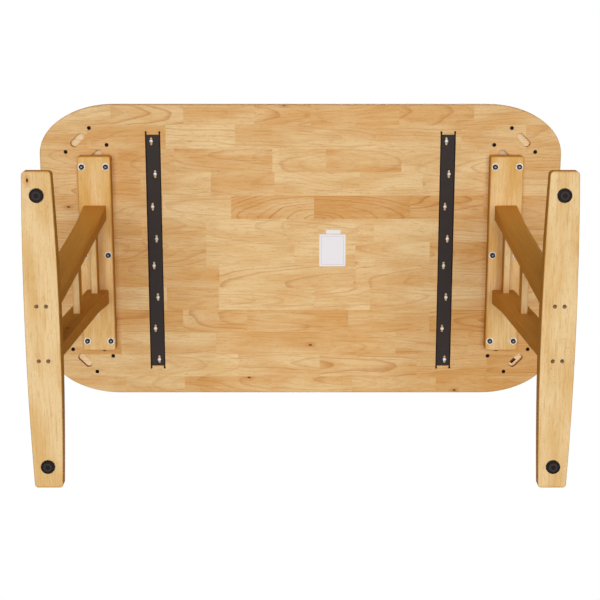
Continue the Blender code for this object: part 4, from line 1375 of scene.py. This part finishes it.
class TABLE_OT_glides(bpy.types.Operator):
    """Make the moulded glides under the feet"""

    bl_idname = "table.glides"
    bl_label = "Glides"

    def execute(self, context):
        fitting = context.scene.table.fitting
        low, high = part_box(nodes_of("glide")[0])
        disc = (high.x - low.x) / 2
        profile = [*GLIDE_FACE, *round_over(disc, GLIDE_RIM, GLIDE_ROUND, steps=6),
                   (disc, GLIDE_THICK - GLIDE_EDGE), (disc - GLIDE_EDGE, GLIDE_THICK),
                   (GLIDE_STEM, GLIDE_THICK), (GLIDE_STEM, high.z)]
        shape = turned(profile, 2 * fitting.sides)
        for facet in shape.faces:
            reach = sum(corner.co.xy.length for corner in facet.verts) / len(facet.verts)
            facet.material_index = int(reach < GLIDE_PAD and facet.calc_center_median().z < GLIDE_RIM / 2)
        nylons = [moulded_nylon(fitting), rubbed_nylon(fitting)]
        add_copies("glide", "moulded_glide", shape, nylons, 0.0)
        return {"FINISHED"}


class TABLE_OT_labels(bpy.types.Operator):
    """Stick the two blank paper labels under the top"""

    bl_idname = "table.labels"
    bl_label = "Blank labels"

    def execute(self, context):
        fitting = context.scene.table.fitting
        face = UNDERSIDE - 2 * LABEL_THICK
        for name, (x, y, wide, tall) in LABELS.items():
            outline = rounded_rectangle(wide / 2, tall / 2, LABEL_CORNER, LABEL_CORNER, steps=4)
            shape = prism([(x + u, y + v) for u, v in outline], face, UNDERSIDE - LABEL_THICK)
            add_piece(name, shape, [label_paper(fitting)])
        x, y, wide, tall = LABELS["label_large"]
        half_wide, half_tall = wide / 2 - RULE_MARGIN, tall / 2 - RULE_MARGIN
        lines = bmesh.new()
        for u, v, half_u, half_v in ((0.0, half_tall, half_wide, RULE_WIDTH / 2),
                                     (half_wide, 0.0, RULE_WIDTH / 2, half_tall)):
            for sign in (-1, 1):
                prism(rectangle(x + sign * u, y + sign * v, half_u, half_v), face - RULE_THICK, face, lines)
        add_piece("label_rule", lines, [printed_rule(fitting)])
        return {"FINISHED"}


class TABLE_OT_stage(bpy.types.Operator):
    """Lay the floor, hang the lamps and set the camera"""

    bl_idname = "table.stage"
    bl_label = "Stage"

    def execute(self, context):
        scene, stage = context.scene, context.scene.table.stage
        scene.view_settings.view_transform = "Standard"
        self.lay_floor(scene, stage)
        self.light_world(scene, stage)
        place, target, angle = FAR_LIGHT
        far_light = bpy.data.lights.new("light_below", "SUN")
        far_light.angle = angle
        self.hang(scene, far_light, place, target, stage.below)
        for name, (place, target, setting, size) in LAMPS.items():
            lamp = bpy.data.lights.new(name, "AREA")
            lamp.size = size
            self.hang(scene, lamp, place, target, getattr(stage, setting))
        lens = bpy.data.cameras.new("view_from_below")
        lens.sensor_width = 36.0
        lens.lens = stage.lens
        lens.shift_y = stage.shift
        lens.clip_end = 100.0
        camera = bpy.data.objects.new("view_from_below", lens)
        scene.collection.objects.link(camera)
        camera.location = stage.camera
        camera.rotation_euler = (math.pi - stage.tilt, 0.0, 0.0)
        scene.camera = camera
        return {"FINISHED"}

    @staticmethod
    def looked_at(tree):
        """1 where the camera, gloss or glass looks at the background, 0 where it only lights the table."""
        path = add(tree, "LightPath").node.outputs
        seen = path["Is Camera Ray"]
        for kind in ("Is Glossy Ray", "Is Transmission Ray"):
            seen = add(tree, "Math", (seen, path[kind]), operation="MAXIMUM")
        return seen

    def lay_floor(self, scene, stage):
        """Floor that keeps the table's shadow, fades to white far out and can't be seen from below."""
        shape = bmesh.new()
        bmesh.ops.create_circle(shape, cap_ends=True, segments=96, radius=FLOOR_RADIUS)
        mesh = bpy.data.meshes.new("floor")
        shape.to_mesh(mesh)
        shape.free()
        mesh.materials.append(self.floor_paint(stage))
        floor = bpy.data.objects.new("floor", mesh)
        floor.location.z = -FLOOR_DROP
        floor.visible_shadow = False
        scene.collection.objects.link(floor)

    def floor_paint(self, stage):
        """Pale matt floor paint, darker where something stands close on it, clear from below."""
        surface = bpy.data.materials.new("pale_painted_floor")
        surface.use_nodes = True
        tree = surface.node_tree
        tree.nodes.clear()
        place = add(tree, "TexCoord", out="Object")
        reach = add(tree, "VectorMath", (place,), "Value", operation="LENGTH")
        far = add(tree, "MapRange", (reach, *FADE), interpolation_type="SMOOTHSTEP")
        seen = self.looked_at(tree)
        share = add(tree, "Math", (far, seen), operation="MULTIPLY")
        bounce, floor = (*stage.bounce, 1.0), (*stage.floor, 1.0)
        paint = add(tree, "Mix", {0: seen, 6: bounce, 7: floor}, 2, data_type="RGBA")
        open_sky = add(tree, "AmbientOcclusion", {"Distance": CONTACT_REACH}, "AO", samples=8)
        contact = add(tree, "Math", (open_sky, CONTACT_POWER), operation="POWER")
        dark = (*linear(CONTACT_DARK), 1.0)
        paint = add(tree, "Mix", {0: contact, 6: dark, 7: paint}, 2, data_type="RGBA")
        near = add(tree, "BsdfDiffuse", {"Color": paint})
        white = add(tree, "Emission", {"Color": (*linear(WHITE), 1.0), "Strength": 1.0})
        top = add(tree, "MixShader", (share, near, white))
        clear = add(tree, "BsdfTransparent")
        back = add(tree, "NewGeometry", out="Backfacing")
        both = add(tree, "MixShader", (back, top, clear))
        tree.links.new(both, tree.nodes.new("ShaderNodeOutputMaterial").inputs["Surface"])
        return surface

    def light_world(self, scene, stage):
        """Soft light from all round; white where the camera, gloss or glass looks at it."""
        world = bpy.data.worlds.new("white_studio")
        world.use_nodes = True
        tree = world.node_tree
        tree.nodes.clear()
        level = add(tree, "MapRange", (self.looked_at(tree), 0.0, 1.0, stage.ambient, 1.0))
        light = add(tree, "Background", {"Color": (*linear(WHITE), 1.0), "Strength": level})
        tree.links.new(light, tree.nodes.new("ShaderNodeOutputWorld").inputs["Surface"])
        scene.world = world

    @staticmethod
    def hang(scene, light, place, target, power):
        """Hangs a light at a place, aimed at a target."""
        light.energy = power
        lamp = bpy.data.objects.new(light.name, light)
        scene.collection.objects.link(lamp)
        lamp.location = place
        aim = Vector(target) - Vector(place)
        lamp.rotation_euler = aim.to_track_quat("-Z", "Y").to_euler()


STEPS = (
    TABLE_OT_board, TABLE_OT_channels, TABLE_OT_inserts, TABLE_OT_cleats, TABLE_OT_bolts, TABLE_OT_posts,
    TABLE_OT_rungs, TABLE_OT_feet, TABLE_OT_screws, TABLE_OT_glides, TABLE_OT_labels, TABLE_OT_stage,
)


class TABLE_PT_steps(bpy.types.Panel):
    """Lists the pieces in the order they are made, and their settings"""

    bl_idname = "TABLE_PT_steps"
    bl_label = "Dining table"
    bl_space_type = "VIEW_3D"
    bl_region_type = "UI"
    bl_category = "Table"

    def draw(self, context):
        for step in STEPS:
            self.layout.operator(step.bl_idname)
        table = context.scene.table
        for group in (table.board, table.trestle, table.fitting, table.stage):
            box = self.layout.box()
            for name in group.__annotations__:
                box.prop(group, name)


CLASSES = (
    BoardSettings, TrestleSettings, FittingSettings, StageSettings, TableSettings, *STEPS, TABLE_PT_steps,
)


def register():
    """Adds the settings, operators and panel."""
    for item in CLASSES:
        bpy.utils.register_class(item)
    bpy.types.Scene.table = PointerProperty(type=TableSettings)


def unregister():
    """Takes them away again."""
    del bpy.types.Scene.table
    for item in reversed(CLASSES):
        bpy.utils.unregister_class(item)


def main():
    """Makes every piece and the stage."""
    register()
    for step in STEPS:
        group, name = step.bl_idname.split(".")
        getattr(getattr(bpy.ops, group), name)()


if __name__ == "__main__":
    main()
